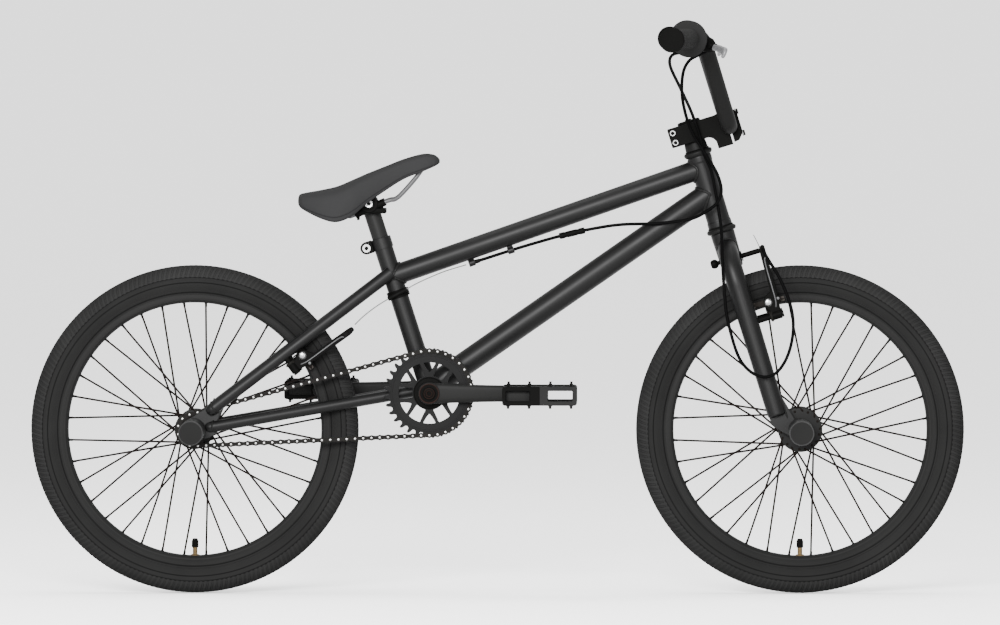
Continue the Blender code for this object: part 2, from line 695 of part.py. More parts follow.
RING_CENTRE_UP = 0.1587


def make_cable_ring():
    """The band on the seat tube that the bare wire runs through, on the drive side."""
    centre = CRANK_AXIS + RING_CENTRE_UP * SEAT_UP
    bore = SEAT_TUBE_RADIUS + 0.0006
    profile = [(bore, 0.006), (0.0172, 0.006), (0.0172, -0.006), (bore, -0.006)]
    band = turned(profile, centre, SEAT_UP, 16)
    wire = (RING_WIRE_REAR - RING_WIRE_FRONT).normalized()
    middle = (RING_WIRE_REAR + RING_WIRE_FRONT) / 2
    tunnel = rod(middle - 0.0165 * wire, middle + 0.0165 * wire, 0.0034, sides=8)
    passage = rod(middle - 0.03 * wire, middle + 0.03 * wire, 0.0014, sides=8)
    part("seat_tube_cable_ring", [band, tunnel], BLACK_METAL, None, [passage])


# Drive


def make_bottom_bracket_cup(hand, side):
    inner, outer = SPINDLE_RADIUS + 0.0006, 0.0171
    flange, face, step, foot = 0.0200, 0.0375, 0.0343, 0.014
    profile = [(inner, face), (flange, face), (flange, step), (outer, step), (outer, foot), (inner, foot)]
    cup = turned(profile, CRANK_AXIS, side * LEFT, 16)
    part(f"bottom_bracket_cup_{hand}", [cup], BLACK_METAL, CRANK_AXIS)


def tooth_outline(teeth, radius):
    """A sprocket's outline with three points a tooth; a gap between teeth faces straight up."""
    points = []
    for tooth in range(teeth):
        for share, reach in ((-0.22, -0.0042), (0.22, -0.0042), (0.50, 0.0036)):
            angle = math.tau * (tooth + share) / teeth
            points.append(((radius + reach) * math.sin(angle), (radius + reach) * math.cos(angle)))
    return points


def ring_windows():
    """Twelve openings between six V-shaped pairs of arms."""
    windows = []
    for index in range(6):
        apex = math.radians(30 + 60 * index)
        inside = [(0.0290, 0.0), (0.0466, -0.200), (0.0466, 0.0), (0.0466, 0.200)]
        windows.append([(r * math.cos(apex + a), r * math.sin(apex + a)) for r, a in inside])
        gap = apex + math.radians(30)
        between = [(0.0262, -0.26), (0.0466, -0.210), (0.0466, 0.210), (0.0262, 0.26)]
        windows.append([(r * math.cos(gap + a), r * math.sin(gap + a)) for r, a in between])
    return windows


def make_chainring():
    centre = CRANK_AXIS + CHAIN_LINE * LEFT
    outlines = [tooth_outline(RING_TEETH, RING_RADIUS), *ring_windows()]
    ring = plate(outlines, SPROCKET_THICKNESS, centre, Vector((1, 0, 0)), UP)
    boss = rod(centre + 0.0014 * LEFT, centre - 0.0055 * LEFT, 0.0218, sides=16)
    hole = rod(centre - 0.02 * LEFT, centre + 0.02 * LEFT, SPINDLE_RADIUS + 0.0006, sides=16)
    part("chainring", [ring, boss], BLACK_METAL, CRANK_AXIS, [hole])


def make_cog():
    centre = REAR_AXLE + CHAIN_LINE * LEFT
    cog = plate([tooth_outline(COG_TEETH, COG_RADIUS)], SPROCKET_THICKNESS, centre, Vector((1, 0, 0)), UP)
    body = rod(centre + 0.0135 * LEFT, centre - 0.0050 * LEFT, 0.0192, sides=12)
    hole = rod(centre - 0.02 * LEFT, centre + 0.02 * LEFT, 0.0174, sides=12)
    part("rear_cog", [cog, body], CHAIN_STEEL, REAR_AXLE, [hole])


def chain_loop(offset):
    """The chain's line moved outwards, as an outline: an arc round each sprocket and two straight runs."""
    direction = CRANK_AXIS - REAR_AXLE
    heading = math.atan2(direction.z, direction.x)
    lean = math.asin((RING_RADIUS - COG_RADIUS) / CHAIN_CENTRES)
    ring_start = heading - math.pi / 2 - lean
    ring = circle((CRANK_AXIS.x, CRANK_AXIS.z), RING_RADIUS + offset, 17, ring_start, math.pi + 2 * lean)
    cog_start = heading + math.pi / 2 + lean
    cog = circle((REAR_AXLE.x, REAR_AXLE.z), COG_RADIUS + offset, 10, cog_start, math.pi - 2 * lean)
    return ring + cog


def make_chain():
    """The chain as one band, slotted where the teeth of the sprockets run in it."""
    outlines = [chain_loop(CHAIN_HALF_HEIGHT), chain_loop(-CHAIN_HALF_HEIGHT)]
    band = plate(outlines, 2 * CHAIN_HALF_WIDTH, CHAIN_LINE * LEFT, Vector((1, 0, 0)), UP)
    slots = []
    for centre, radius in ((CRANK_AXIS, RING_RADIUS + 0.0056), (REAR_AXLE, COG_RADIUS + 0.0065)):
        middle = centre + CHAIN_LINE * LEFT
        slots.append(rod(middle - 0.0019 * LEFT, middle + 0.0019 * LEFT, radius, sides=36))
    part("chain", [band], CHAIN_STEEL, None, slots)


PEDAL_MIDDLE = 0.130
PEDAL_HALF = Vector((0.057, 0.050, 0.0145))


def make_crank_arm(hand, side):
    """A forged arm, thicker at the spindle and standing further out at the pedal."""
    reach = -side * CRANK_LENGTH
    big = circle((0, 0), 0.0160, 9, math.radians(80), math.radians(200))
    small = circle((CRANK_LENGTH, 0), 0.0125, 7, math.radians(-95), math.radians(190))
    outline = [(reach / CRANK_LENGTH * x, y) for x, y in big + small]
    if side > 0:
        outline.reverse()
    centre = CRANK_AXIS + side * 0.0620 * LEFT
    arm = plate([outline], 0.0130, centre, Vector((1, 0, 0)), UP)
    for vertex in arm.data.vertices:
        run = abs(vertex.co.x - CRANK_AXIS.x) / CRANK_LENGTH
        vertex.co.y += side * 0.0085 * min(1.0, run)
    boss = rod(CRANK_AXIS + side * 0.0520 * LEFT, CRANK_AXIS + side * 0.0700 * LEFT, 0.0168, sides=16)
    hole_ends = [CRANK_AXIS + side * out * LEFT for out in (0.04, 0.0655)]
    spindle_hole = rod(*hole_ends, SPINDLE_RADIUS + 0.0006, sides=16)
    end = CRANK_AXIS + Vector((reach, 0, 0))
    axle_hole = rod(end + side * 0.04 * LEFT, end + side * 0.09 * LEFT, 0.0073, sides=12)
    part(f"crank_arm_{hand}", [arm, boss], BLACK_METAL, CRANK_AXIS, [spindle_hole, axle_hole])


def make_pedal(hand, side):
    """A platform body with windows both ways and pins through both faces, on its axle."""
    end = CRANK_AXIS + Vector((-side * CRANK_LENGTH, 0, 0))
    middle = end + side * PEDAL_MIDDLE * LEFT
    inner = PEDAL_MIDDLE - PEDAL_HALF.y
    part(
        f"pedal_axle_{hand}",
        [
            rod(end + side * 0.0655 * LEFT, end + side * (inner - 0.0006) * LEFT, 0.0068, sides=12),
            rod(end + side * 0.0655 * LEFT, end + side * (PEDAL_MIDDLE + 0.043) * LEFT, 0.0050, sides=12),
        ],
        STEEL,
        end,
    )
    bevel = 0.006
    x, z = PEDAL_HALF.x, PEDAL_HALF.z
    outline = [
        (-x, -z + bevel), (-x + bevel, -z), (x - bevel, -z), (x, -z + bevel),
        (x, z - bevel), (x - bevel, z), (-x + bevel, z), (-x, z - bevel),
    ]
    body = plate([outline], 2 * PEDAL_HALF.y, middle, Vector((1, 0, 0)), UP)
    windows = []
    for front in (-1, 1):
        hollow = middle + Vector((front * 0.0325, 0, 0))
        windows.append(block(hollow, (0.038, 0.2, 0.0165)))
        windows.append(block(hollow, (0.038, 0.074, 0.06)))
    bore_ends = [end + side * out * LEFT for out in (0.05, PEDAL_MIDDLE + 0.0436)]
    windows.append(rod(*bore_ends, 0.0057, sides=12))
    pins = []
    for along in (-0.048, -0.016, 0.016, 0.048):
        for across in (-0.0435, 0.0435):
            foot = middle + Vector((along, across, -0.0195))
            pins.append(rod(foot, foot + 0.039 * UP, 0.0019, sides=4))
    body = combined(body, windows, "DIFFERENCE")
    part(f"pedal_{hand}", [body, *pins], PLASTIC, end)


# Seat


def make_seat_post():
    foot = SEAT_TUBE_TOP - 0.085 * SEAT_UP
    post = rod(foot, SADDLE_PIVOT + 0.006 * SEAT_UP, SEAT_POST_RADIUS, sides=16)
    hole = rod(SADDLE_PIVOT - 0.05 * LEFT, SADDLE_PIVOT + 0.05 * LEFT, 0.0043, sides=12)
    part("seat_post", [post], FRAME_PAINT, SEAT_TUBE_TOP, [hole])


RAIL_LIFT = -0.0078
RAIL_RADIUS = 0.0035
RAIL_TILT = 0.42


def rail_points(side):
    """One side of the saddle rail, from the rear socket forward to the nose."""
    base = SADDLE_PIVOT + RAIL_LIFT * UP
    steps = [
        (-0.0500, 0.0050, 0.0290), (-0.0410, -0.0060, 0.0275), (-0.0310, -0.0112, 0.0250),
        (-0.0235, -RAIL_TILT * 0.0235, 0.0220), (0.0270, RAIL_TILT * 0.0270, 0.0220),
        (0.0400, 0.0145, 0.0205), (0.0510, 0.0235, 0.0180),
        (0.0700, 0.0450, 0.0145), (0.0800, 0.0585, 0.0100),
    ]
    return [base + Vector((x, side * y, z)) for x, z, y in steps]


def make_rails():
    left = rail_points(1)
    right = rail_points(-1)
    part("saddle_rails", [pipe(left + right[::-1], RAIL_RADIUS, 8)], STEEL, SADDLE_PIVOT)


def make_rail_clamp():
    """Two cheeks that hold the rails, on the bolt through the post."""
    pieces = [rod(SADDLE_PIVOT - 0.033 * LEFT, SADDLE_PIVOT + 0.033 * LEFT, 0.0036, sides=10)]
    for side in (-1, 1):
        start, end = SADDLE_PIVOT + side * 0.0165 * LEFT, SADDLE_PIVOT + side * 0.0300 * LEFT
        pieces.append(rod(start, end, 0.0140, sides=16))
    holes = []
    for side in (-1, 1):
        middle = SADDLE_PIVOT + RAIL_LIFT * UP + side * 0.022 * LEFT
        rear = middle - 0.0230 * Vector((1, 0, RAIL_TILT))
        front = middle + 0.0265 * Vector((1, 0, RAIL_TILT))
        holes.append(rod(rear, front, RAIL_RADIUS + 0.0006, sides=10))
    part("seat_rail_clamp", pieces, BLACK_METAL, SADDLE_PIVOT, holes)


SADDLE_STATIONS = [
    (-0.3050, 0.6110, 0.5990, 0.036, 0.20),
    (-0.2980, 0.6160, 0.5920, 0.056, 0.25),
    (-0.2700, 0.6209, 0.5778, 0.070, 0.50),
    (-0.2461, 0.6264, 0.5724, 0.072, 0.62),
    (-0.2225, 0.6363, 0.5813, 0.065, 0.66),
    (-0.2000, 0.6462, 0.6000, 0.052, 0.60),
    (-0.1724, 0.6572, 0.6195, 0.038, 0.55),
    (-0.1433, 0.6686, 0.6377, 0.030, 0.45),
    (-0.1150, 0.6762, 0.6491, 0.027, 0.38),
    (-0.0980, 0.6750, 0.6562, 0.021, 0.25),
    (-0.0890, 0.6680, 0.6620, 0.010, 0.20),
]


def saddle_section(x, top, bottom, half, hollow):
    """One cross-section: a crowned top, sides rolling down to an edge, and a raised underside."""
    height = top - bottom
    under = bottom + hollow * height
    right = [(0.0, top), (0.62, top - 0.07 * height), (0.95, top - 0.34 * height)]
    right += [(1.0, bottom + 0.28 * height)]
    right += [(0.93, bottom), (0.80, bottom + 0.08 * height), (0.66, under)]
    left = [(-share, z) for share, z in reversed(right[1:])]
    return [Vector((x, half * share, z)) for share, z in right + left]


def make_saddle():
    shape = bmesh.new()
    rings = []
    for station in SADDLE_STATIONS:
        rings.append([shape.verts.new(point) for point in saddle_section(*station)])
    count = len(rings[0])
    for back, front in zip(rings, rings[1:]):
        for i in range(count):
            shape.faces.new((back[i], back[(i + 1) % count], front[(i + 1) % count], front[i]))
    shape.faces.new(rings[0])
    shape.faces.new(rings[-1])
    part("saddle", [from_bmesh(shape)], VINYL, SADDLE_PIVOT)


# Brakes


def make_brake(end, axle, along, out):
    """Two arms on their studs, each with a pad that reaches in to the rim."""
    for hand, side in (("right", -1), ("left", 1)):
        origin = axle + side * BRAKE_PIVOT_Y * LEFT
        pivot = origin + BRAKE_PIVOT[0] * along + BRAKE_PIVOT[1] * out
        pad_out = 0.010
        pad_up = math.sqrt(PAD_RADIUS**2 - pad_out**2)
        outline = [
            (0.0090, 0.1760), (0.0235, 0.1760), (0.0275, 0.2050), (0.0295, 0.2860), (0.0205, 0.2860),
            (0.0180, 0.2180), (0.0040, 0.2090), (0.0040, 0.1950), (0.0090, 0.1880),
        ]
        arm = plate([outline], 0.0064, origin, out, along)
        barrel = rod(pivot - 0.0098 * out, pivot + 0.0085 * out, 0.0078, sides=12)
        bore = rod(pivot - 0.03 * out, pivot + 0.03 * out, 0.0046, sides=12)
        stud_centre = axle + pad_up * along + pad_out * out
        stud_hole = rod(stud_centre + side * 0.03 * LEFT, stud_centre + side * 0.07 * LEFT, 0.0036, sides=10)
        part(f"{end}_brake_arm_{hand}", [arm, barrel], BLACK_METAL, pivot, [bore, stud_hole])
        tangent = Vector((stud_centre - axle).cross(LEFT)).normalized()
        face, back, head = 0.0182, 0.0300, BRAKE_PIVOT_Y + 0.0035
        shoe_centre = stud_centre + side * (face + back) / 2 * LEFT
        shoe = block(shoe_centre, (0.050, back - face, 0.0080), stud_centre - axle, tangent)
        head_foot = stud_centre + side * head * LEFT
        stud = rod(stud_centre + side * 0.025 * LEFT, head_foot + side * 0.003 * LEFT, 0.0030, sides=10)
        bolt = rod(head_foot, head_foot + side * 0.0045 * LEFT, 0.0050, sides=10)
        part(f"{end}_brake_pad_{hand}", [shoe, stud, bolt], GRIP_RUBBER, pivot)


# Cable routes, from the lever to the brake

RING_WIRE_FRONT = Vector((-0.1405, -0.0200, 0.4680))
RING_WIRE_REAR = Vector((-0.1660, -0.0200, 0.4543))
REAR_HOUSING_ROUTE = [
    (0.3268, -0.1808, 0.8452), (0.3230, -0.1690, 0.8370), (0.3080, -0.1580, 0.8290),
    (0.2935, -0.1430, 0.8200),
    (0.2850, -0.1220, 0.8030), (0.2828, -0.0980, 0.7780),
    (0.2850, -0.0720, 0.7548), (0.2925, -0.0500, 0.7255), (0.3030, -0.0430, 0.7020),
    (0.3101, -0.0410, 0.6910),
    (0.3236, -0.0405, 0.6694), (0.3372, -0.0405, 0.6468), (0.3440, -0.0405, 0.6220),
    (0.3390, -0.0410, 0.6038),
    (0.3236, -0.0380, 0.5902), (0.2965, -0.0300, 0.5766), (0.2500, -0.0235, 0.5700),
    (0.1880, -0.0180, 0.5677),
    (0.1341, -0.0130, 0.5590), (0.0955, -0.0085, 0.5498), (0.0500, -0.0022, 0.5368), (0.0208, 0.0, 0.5278),
    (-0.0060, 0.0, 0.5192), (-0.0370, 0.0, 0.5092),
]
REAR_WIRE_ROUTE = [
    (-0.0480, 0.0, 0.5056), (-0.0800, -0.0070, 0.4960), (-0.1060, -0.0140, 0.4855),
    (-0.1260, -0.0185, 0.4762),
    RING_WIRE_FRONT, RING_WIRE_REAR, (-0.1860, -0.0245, 0.4420), (-0.2050, -0.0350, 0.4275),
    (-0.2180, -0.0440, 0.4150),
]
FRONT_HOUSING_ROUTE = [
    (0.3268, 0.1808, 0.8452), (0.3230, 0.1690, 0.8370), (0.3080, 0.1590, 0.8300), (0.2860, 0.1500, 0.8310),
    (0.2690, 0.1380, 0.8270), (0.2660, 0.1130, 0.8110), (0.2810, 0.0580, 0.7779), (0.2940, -0.0080, 0.7500),
    (0.3020, -0.0345, 0.7300), (0.3105, -0.0330, 0.7050),
    (0.3175, -0.0315, 0.6763), (0.3282, -0.0300, 0.6516), (0.3349, -0.0310, 0.6197),
    (0.3395, -0.0335, 0.5925),
    (0.3439, -0.0430, 0.5591), (0.3452, -0.0620, 0.5132), (0.3483, -0.0720, 0.4666),
    (0.3529, -0.0745, 0.4250),
    (0.3681, -0.0765, 0.3714), (0.3854, -0.0785, 0.3464), (0.4065, -0.0800, 0.3361),
    (0.4256, -0.0800, 0.3407),
    (0.4410, -0.0800, 0.3598), (0.4506, -0.0790, 0.3868), (0.4537, -0.0780, 0.4173),
    (0.4487, -0.0760, 0.4481),
    (0.4333, -0.0720, 0.4863), (0.4181, -0.0690, 0.5113), (0.4095, -0.0660, 0.5260),
    (0.4070, -0.0610, 0.5335),
    (0.4064, -0.0545, 0.5350),
]
HOUSING_RADIUS = 0.0025
COUPLING_ENDS = (Vector((0.1341, -0.0130, 0.5590)), Vector((0.0955, -0.0085, 0.5498)))


def make_cables():
    front = smooth_route([Vector(point) for point in FRONT_HOUSING_ROUTE], 0.025)
    part("front_brake_cable", [pipe(front, HOUSING_RADIUS, 6)], HOUSING, None)
    rear = smooth_route([Vector(point) for point in REAR_HOUSING_ROUTE], 0.025)
    part("rear_brake_cable", [pipe(rear, HOUSING_RADIUS, 6)], HOUSING, None)
    wire = smooth_route([Vector(point) for point in REAR_WIRE_ROUTE], 0.012)
    part("rear_brake_wire", [pipe(wire, 0.0008, 6)], STEEL, None)
    start, end = COUPLING_ENDS
    sleeve = rod(start, end, 0.0048, sides=10)
    passage = rod(start + 0.2 * (start - end), end - 0.2 * (start - end), 0.0037, sides=10)
    part("cable_coupling", [sleeve], BLACK_METAL, None, [passage])


def build():
    for end, axle in (("front", FRONT_AXLE), ("rear", REAR_AXLE)):
        make_tyre(f"{end}_tyre", axle)
        make_rim(f"{end}_rim", axle)
        make_valve(f"{end}_valve", axle)
    make_front_hub()
    make_rear_hub()
    make_axle("front_axle", FRONT_AXLE, FRONT_AXLE_RADIUS, 0.074)
    make_axle("rear_axle", REAR_AXLE, REAR_AXLE_RADIUS, 0.080)
    for hand, side in (("right", -1), ("left", 1)):
        make_peg(f"front_peg_{hand}", FRONT_AXLE, 0.0564, side, 0.0062)
        make_peg(f"rear_peg_{hand}", REAR_AXLE, DROPOUT_OUTER + 0.0004, side, 0.0082)
        make_grip(f"grip_{hand}", side)
        make_lever(hand, side)
        make_crank_arm(hand, side)
        make_pedal(hand, side)
        make_bottom_bracket_cup(hand, side)
    make_fork()
    make_headset()
    make_stem()
    make_faceplate()
    make_top_cap()
    make_handlebar()
    make_crown_bolt()
    make_frame()
    make_seat_clamp()
    make_cable_ring()
    make_axle("crank_spindle", CRANK_AXIS, SPINDLE_RADIUS, 0.065)
    make_chainring()
    make_cog()
    make_chain()
    make_seat_post()
    make_rails()
    make_rail_clamp()
    make_saddle()
    make_brake("front", FRONT_AXLE, STEER_UP, STEER_FORWARD)
    make_brake("rear", REAR_AXLE, STAY_DIRECTION, STAY_OUT)
    make_cables()


build()
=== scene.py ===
import json
import math

import bmesh
import bpy
import numpy as np
from mathutils import Matrix, Vector


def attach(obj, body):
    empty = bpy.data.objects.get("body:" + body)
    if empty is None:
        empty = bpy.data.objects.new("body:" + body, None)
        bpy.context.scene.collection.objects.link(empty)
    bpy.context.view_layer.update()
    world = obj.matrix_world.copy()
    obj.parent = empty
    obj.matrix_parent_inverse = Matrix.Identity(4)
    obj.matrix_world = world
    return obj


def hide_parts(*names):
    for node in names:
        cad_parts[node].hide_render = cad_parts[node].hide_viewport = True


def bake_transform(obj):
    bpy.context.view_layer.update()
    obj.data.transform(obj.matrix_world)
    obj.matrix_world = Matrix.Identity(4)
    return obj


# Camera: made first, at the photo's viewing angle

CAMERA_AIM = Vector((0.004, 0.0, 0.4322))
CAMERA_DISTANCE = 16.0
CAMERA_TURN = math.radians(0.65)
CAMERA_RISE = math.radians(1.7)
CAMERA_LENS = 374.5


def make_camera():
    data = bpy.data.cameras.new("camera")
    data.lens = CAMERA_LENS
    data.sensor_width = 36.0
    camera = bpy.data.objects.new("camera", data)
    away = Vector((
        math.sin(CAMERA_TURN) * math.cos(CAMERA_RISE),
        -math.cos(CAMERA_TURN) * math.cos(CAMERA_RISE),
        math.sin(CAMERA_RISE),
    ))
    camera.location = CAMERA_AIM + CAMERA_DISTANCE * away
    camera.rotation_euler = (-away).to_track_quat("-Z", "Y").to_euler()
    bpy.context.scene.collection.objects.link(camera)
    bpy.context.scene.camera = camera


make_camera()
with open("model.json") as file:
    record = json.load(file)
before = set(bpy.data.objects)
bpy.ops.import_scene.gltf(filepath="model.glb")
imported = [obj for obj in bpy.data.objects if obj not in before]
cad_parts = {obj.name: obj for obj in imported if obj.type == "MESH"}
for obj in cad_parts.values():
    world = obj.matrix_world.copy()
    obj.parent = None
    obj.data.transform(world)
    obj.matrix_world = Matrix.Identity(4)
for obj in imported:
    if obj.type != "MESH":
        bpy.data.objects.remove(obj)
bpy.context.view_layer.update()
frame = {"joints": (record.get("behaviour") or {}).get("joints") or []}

# Places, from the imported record's joints

JOINTS = {joint["name"]: joint for joint in frame["joints"]}


def joint_point(name):
    return Vector(JOINTS[name]["pos_m"])


UP = Vector((0, 0, 1))
LEFT = Vector((0, 1, 0))
AHEAD = Vector((1, 0, 0))
FRONT_AXLE = joint_point("front_wheel_spin")
REAR_AXLE = joint_point("rear_wheel_spin")
CRANK_AXIS = joint_point("crank_spin")
SADDLE_PIVOT = joint_point("saddle_tilt")
STEER_UP = Vector(JOINTS["steering"]["axis"]).normalized()
STEER_FORWARD = LEFT.cross(STEER_UP)
STEER_FOOT = joint_point("steering") + STEER_UP * (FRONT_AXLE - joint_point("steering")).dot(STEER_UP)
SEAT_UP = Vector(JOINTS["seat_height"]["axis"]).normalized()
SEAT_TUBE_TOP = CRANK_AXIS + 0.24219 * SEAT_UP
STAY_DIRECTION = Vector((0.795, 0, 0.6065)).normalized()
STAY_OUT = Vector((STAY_DIRECTION.z, 0, -STAY_DIRECTION.x))
FORK_OFFSET = (FRONT_AXLE - STEER_FOOT).dot(STEER_FORWARD)
CRANK_LENGTH = (joint_point("right_pedal_spin") - CRANK_AXIS).length


def at_fork(up, forward=0.0, left=0.0):
    return STEER_FOOT + up * STEER_UP + forward * STEER_FORWARD + left * LEFT


def mirrored(point):
    return Vector((point.x, -point.y, point.z))


# Shapes: each is a pair (points, faces) in the row frame


def merged(shapes):
    points, faces = [], []
    for more_points, more_faces in shapes:
        start = len(points)
        points.extend(more_points)
        faces.extend([tuple(start + i for i in face) for face in more_faces])
    return points, faces


def aimed(position, direction, side=LEFT):
    """A matrix whose Z points along direction, and X as near to side as it can."""
    z = direction.normalized()
    if abs(side.normalized().dot(z)) > 0.97:
        side = AHEAD if abs(z.x) < 0.9 else UP
    x = (side - side.dot(z) * z).normalized()
    return Matrix.Translation(position) @ Matrix((x, z.cross(x), z)).transposed().to_4x4()


def rounded(outline, radius, steps=3, closed=False):
    """The outline with its corners rounded."""
    flat = [Vector(p) for p in outline]
    count = len(flat)
    made = []
    for i, point in enumerate(flat):
        if not closed and i in (0, count - 1):
            made.append(point)
            continue
        before, after = flat[i - 1], flat[(i + 1) % count]
        cut = min(radius, 0.45 * (before - point).length, 0.45 * (after - point).length)
        start = point + cut * (before - point).normalized()
        end = point + cut * (after - point).normalized()
        for step in range(steps + 1):
            t = step / steps
            made.append((1 - t) ** 2 * start + 2 * t * (1 - t) * point + t * t * end)
    return made


def loft(rings, caps=True, cyclic=False):
    count = len(rings[0])
    points = [Vector(p) for ring in rings for p in ring]
    faces = []
    last = len(rings) if cyclic else len(rings) - 1
    for i in range(last):
        a, b = i * count, (i + 1) % len(rings) * count
        for j in range(count):
            k = (j + 1) % count
            faces.append((a + j, a + k, b + k, b + j))
    if caps and not cyclic:
        faces.append(tuple(reversed(range(count))))
        faces.append(tuple(range(len(points) - count, len(points))))
    return points, faces


def turned(profile, origin, axis, steps=64, soft=0.0):
    """A turned shape from (radius, height) pairs; soft rounds its corners."""
    line = [Vector((r, h)) for r, h in profile]
    if soft:
        line = rounded(line, soft)
    place = aimed(origin, axis)
    points, faces, rows = [], [], []
    for r, h in line:
        if r < 1e-6:
            rows.append([len(points)] * steps)
            points.append(place @ Vector((0, 0, h)))
            continue
        rows.append(list(range(len(points), len(points) + steps)))
        for i in range(steps):
            a = math.tau * i / steps
            points.append(place @ Vector((r * math.cos(a), r * math.sin(a), h)))
    for low, high in zip(rows, rows[1:]):
        for i in range(steps):
            k = (i + 1) % steps
            face = [low[i], low[k], high[k], high[i]]
            whole = list(dict.fromkeys(face))
            if len(whole) > 2:
                faces.append(tuple(whole))
    return points, faces


def smooth_route(points, spacing):
    """Evenly spaced points on a smooth curve through the given points."""
    points = [Vector(p) for p in points]
    ends = [2 * points[0] - points[1], *points, 2 * points[-1] - points[-2]]
    fine = []
    for a, b, c, d in zip(ends, ends[1:], ends[2:], ends[3:]):
        for step in range(16):
            t = step / 16
            curve = 2 * b + (c - a) * t + (2 * a - 5 * b + 4 * c - d) * t**2
            fine.append((curve + (3 * b - a - 3 * c + d) * t**3) / 2)
    fine.append(points[-1])
    lengths = np.cumsum([0.0] + [(q - p).length for p, q in zip(fine, fine[1:])])
    wanted = np.linspace(0, lengths[-1], max(2, round(lengths[-1] / spacing) + 1))
    columns = [np.interp(wanted, lengths, [p[i] for p in fine]) for i in range(3)]
    return [Vector(row) for row in zip(*columns)]


def swept(path, radii, sides=24, section=None, side=LEFT):
    """A section carried along a path without twisting; radii is one size or one for each point."""
    path = [Vector(p) for p in path]
    count = len(path)
    sizes = radii if isinstance(radii, (list, tuple)) else [radii] * count
    if section is None:
        section = [(math.cos(math.tau * i / sides), math.sin(math.tau * i / sides)) for i in range(sides)]
    heading = (path[1] - path[0]).normalized()
    if abs(side.dot(heading)) > 0.95:
        side = AHEAD if abs(heading.x) < 0.9 else UP
    across = (side - side.dot(heading) * heading).normalized()
    rings = []
    for i in range(count):
        ahead = path[min(i + 1, count - 1)] - path[max(i - 1, 0)]
        heading = ahead.normalized()
        across = (across - across.dot(heading) * heading).normalized()
        over = heading.cross(across)
        rings.append([path[i] + sizes[i] * (x * across + y * over) for x, y in section])
    return loft(rings)


def tube(start, end, radius, end_radius=None, sides=48, soft=0.0):
    """A straight tube or cone; soft rounds its ends' edges."""
    length = (end - start).length
    last = radius if end_radius is None else end_radius
    return turned([(0, 0), (radius, 0), (last, length), (0, length)], start, end - start, sides, soft)


def block(centre, size, direction=UP, side=AHEAD, soft=0.001):
    """A box with softened edges; its third size runs along direction and its first along side."""
    shape = bmesh.new()
    bmesh.ops.create_cube(shape, size=1.0)
    bmesh.ops.scale(shape, vec=size, verts=shape.verts)
    if soft:
        bmesh.ops.bevel(shape, geom=shape.edges[:], offset=soft, segments=2, profile=0.5, affect="EDGES")
    place = aimed(centre, direction, side)
    shape.verts.index_update()
    points = [place @ v.co for v in shape.verts]
    faces = [tuple(v.index for v in f.verts) for f in shape.faces]
    shape.free()
    return points, faces


def plate(outlines, thickness, origin, across, along, soft=0.0005):
    """A flat plate with softened edges from closed outlines; inner outlines are holes."""
    curve = bpy.data.curves.new("plate", "CURVE")
    curve.dimensions = "2D"
    curve.fill_mode = "BOTH"
    curve.extrude = thickness / 2 - soft
    curve.bevel_depth = soft
    curve.bevel_resolution = 1
    curve.offset = -soft
    for outline in outlines:
        line = curve.splines.new("POLY")
        line.points.add(len(outline) - 1)
        line.use_cyclic_u = True
        for index, point in enumerate(outline):
            line.points[index].co = (point[0], point[1], 0.0, 1.0)
    obj = bpy.data.objects.new("plate", curve)
    mesh = obj.to_mesh()
    x, y = across.normalized(), along.normalized()
    place = Matrix.Translation(origin) @ Matrix((x, y, x.cross(y))).transposed().to_4x4()
    points = [place @ v.co for v in mesh.vertices]
    faces = [tuple(p.vertices) for p in mesh.polygons]
    obj.to_mesh_clear()
    bpy.data.objects.remove(obj)
    bpy.data.curves.remove(curve)
    return points, faces


def circle(centre, radius, count, start=0.0, sweep=math.tau):
    steps = count if sweep == math.tau else count - 1
    angles = [start + sweep * i / steps for i in range(count)]
    return [(centre[0] + radius * math.cos(a), centre[1] + radius * math.sin(a)) for a in angles]


def socket_bolt(centre, axis, radius, height, key):
    """A round bolt head with a hexagonal socket."""
    base = aimed(centre, axis)
    x, y = base.to_3x3().col[0], base.to_3x3().col[1]
    head = plate([circle((0, 0), radius, 32), circle((0, 0), key, 6)], height, centre + height / 2 * axis,
        x, y,
                 min(0.0004, height / 4))
    floor = tube(centre, centre + 0.35 * height * axis, key * 1.05, sides=24)
    return merged([head, floor])


def hex_nut(centre, axis, radius, height):
    """A hexagonal nut with chamfered corners."""
    base = aimed(centre, axis)
    x, y = base.to_3x3().col[0], base.to_3x3().col[1]
    return plate([circle((0, 0), radius, 6)], height, centre + height / 2 * axis, x, y,
        min(0.0006, height / 4))


COIL_STEPS = 20


def coil(centre, axis, radius, wire, turns, length):
    """A helical spring of round wire."""
    place = aimed(centre, axis)
    path = []
    for i in range(int(turns * COIL_STEPS) + 1):
        a = math.tau * i / COIL_STEPS
        rise = length * i / (turns * COIL_STEPS)
        path.append(place @ Vector((radius * math.cos(a), radius * math.sin(a), rise)))
    return swept(path, wire, 10)


BEAD_RIPPLE = 0.0004


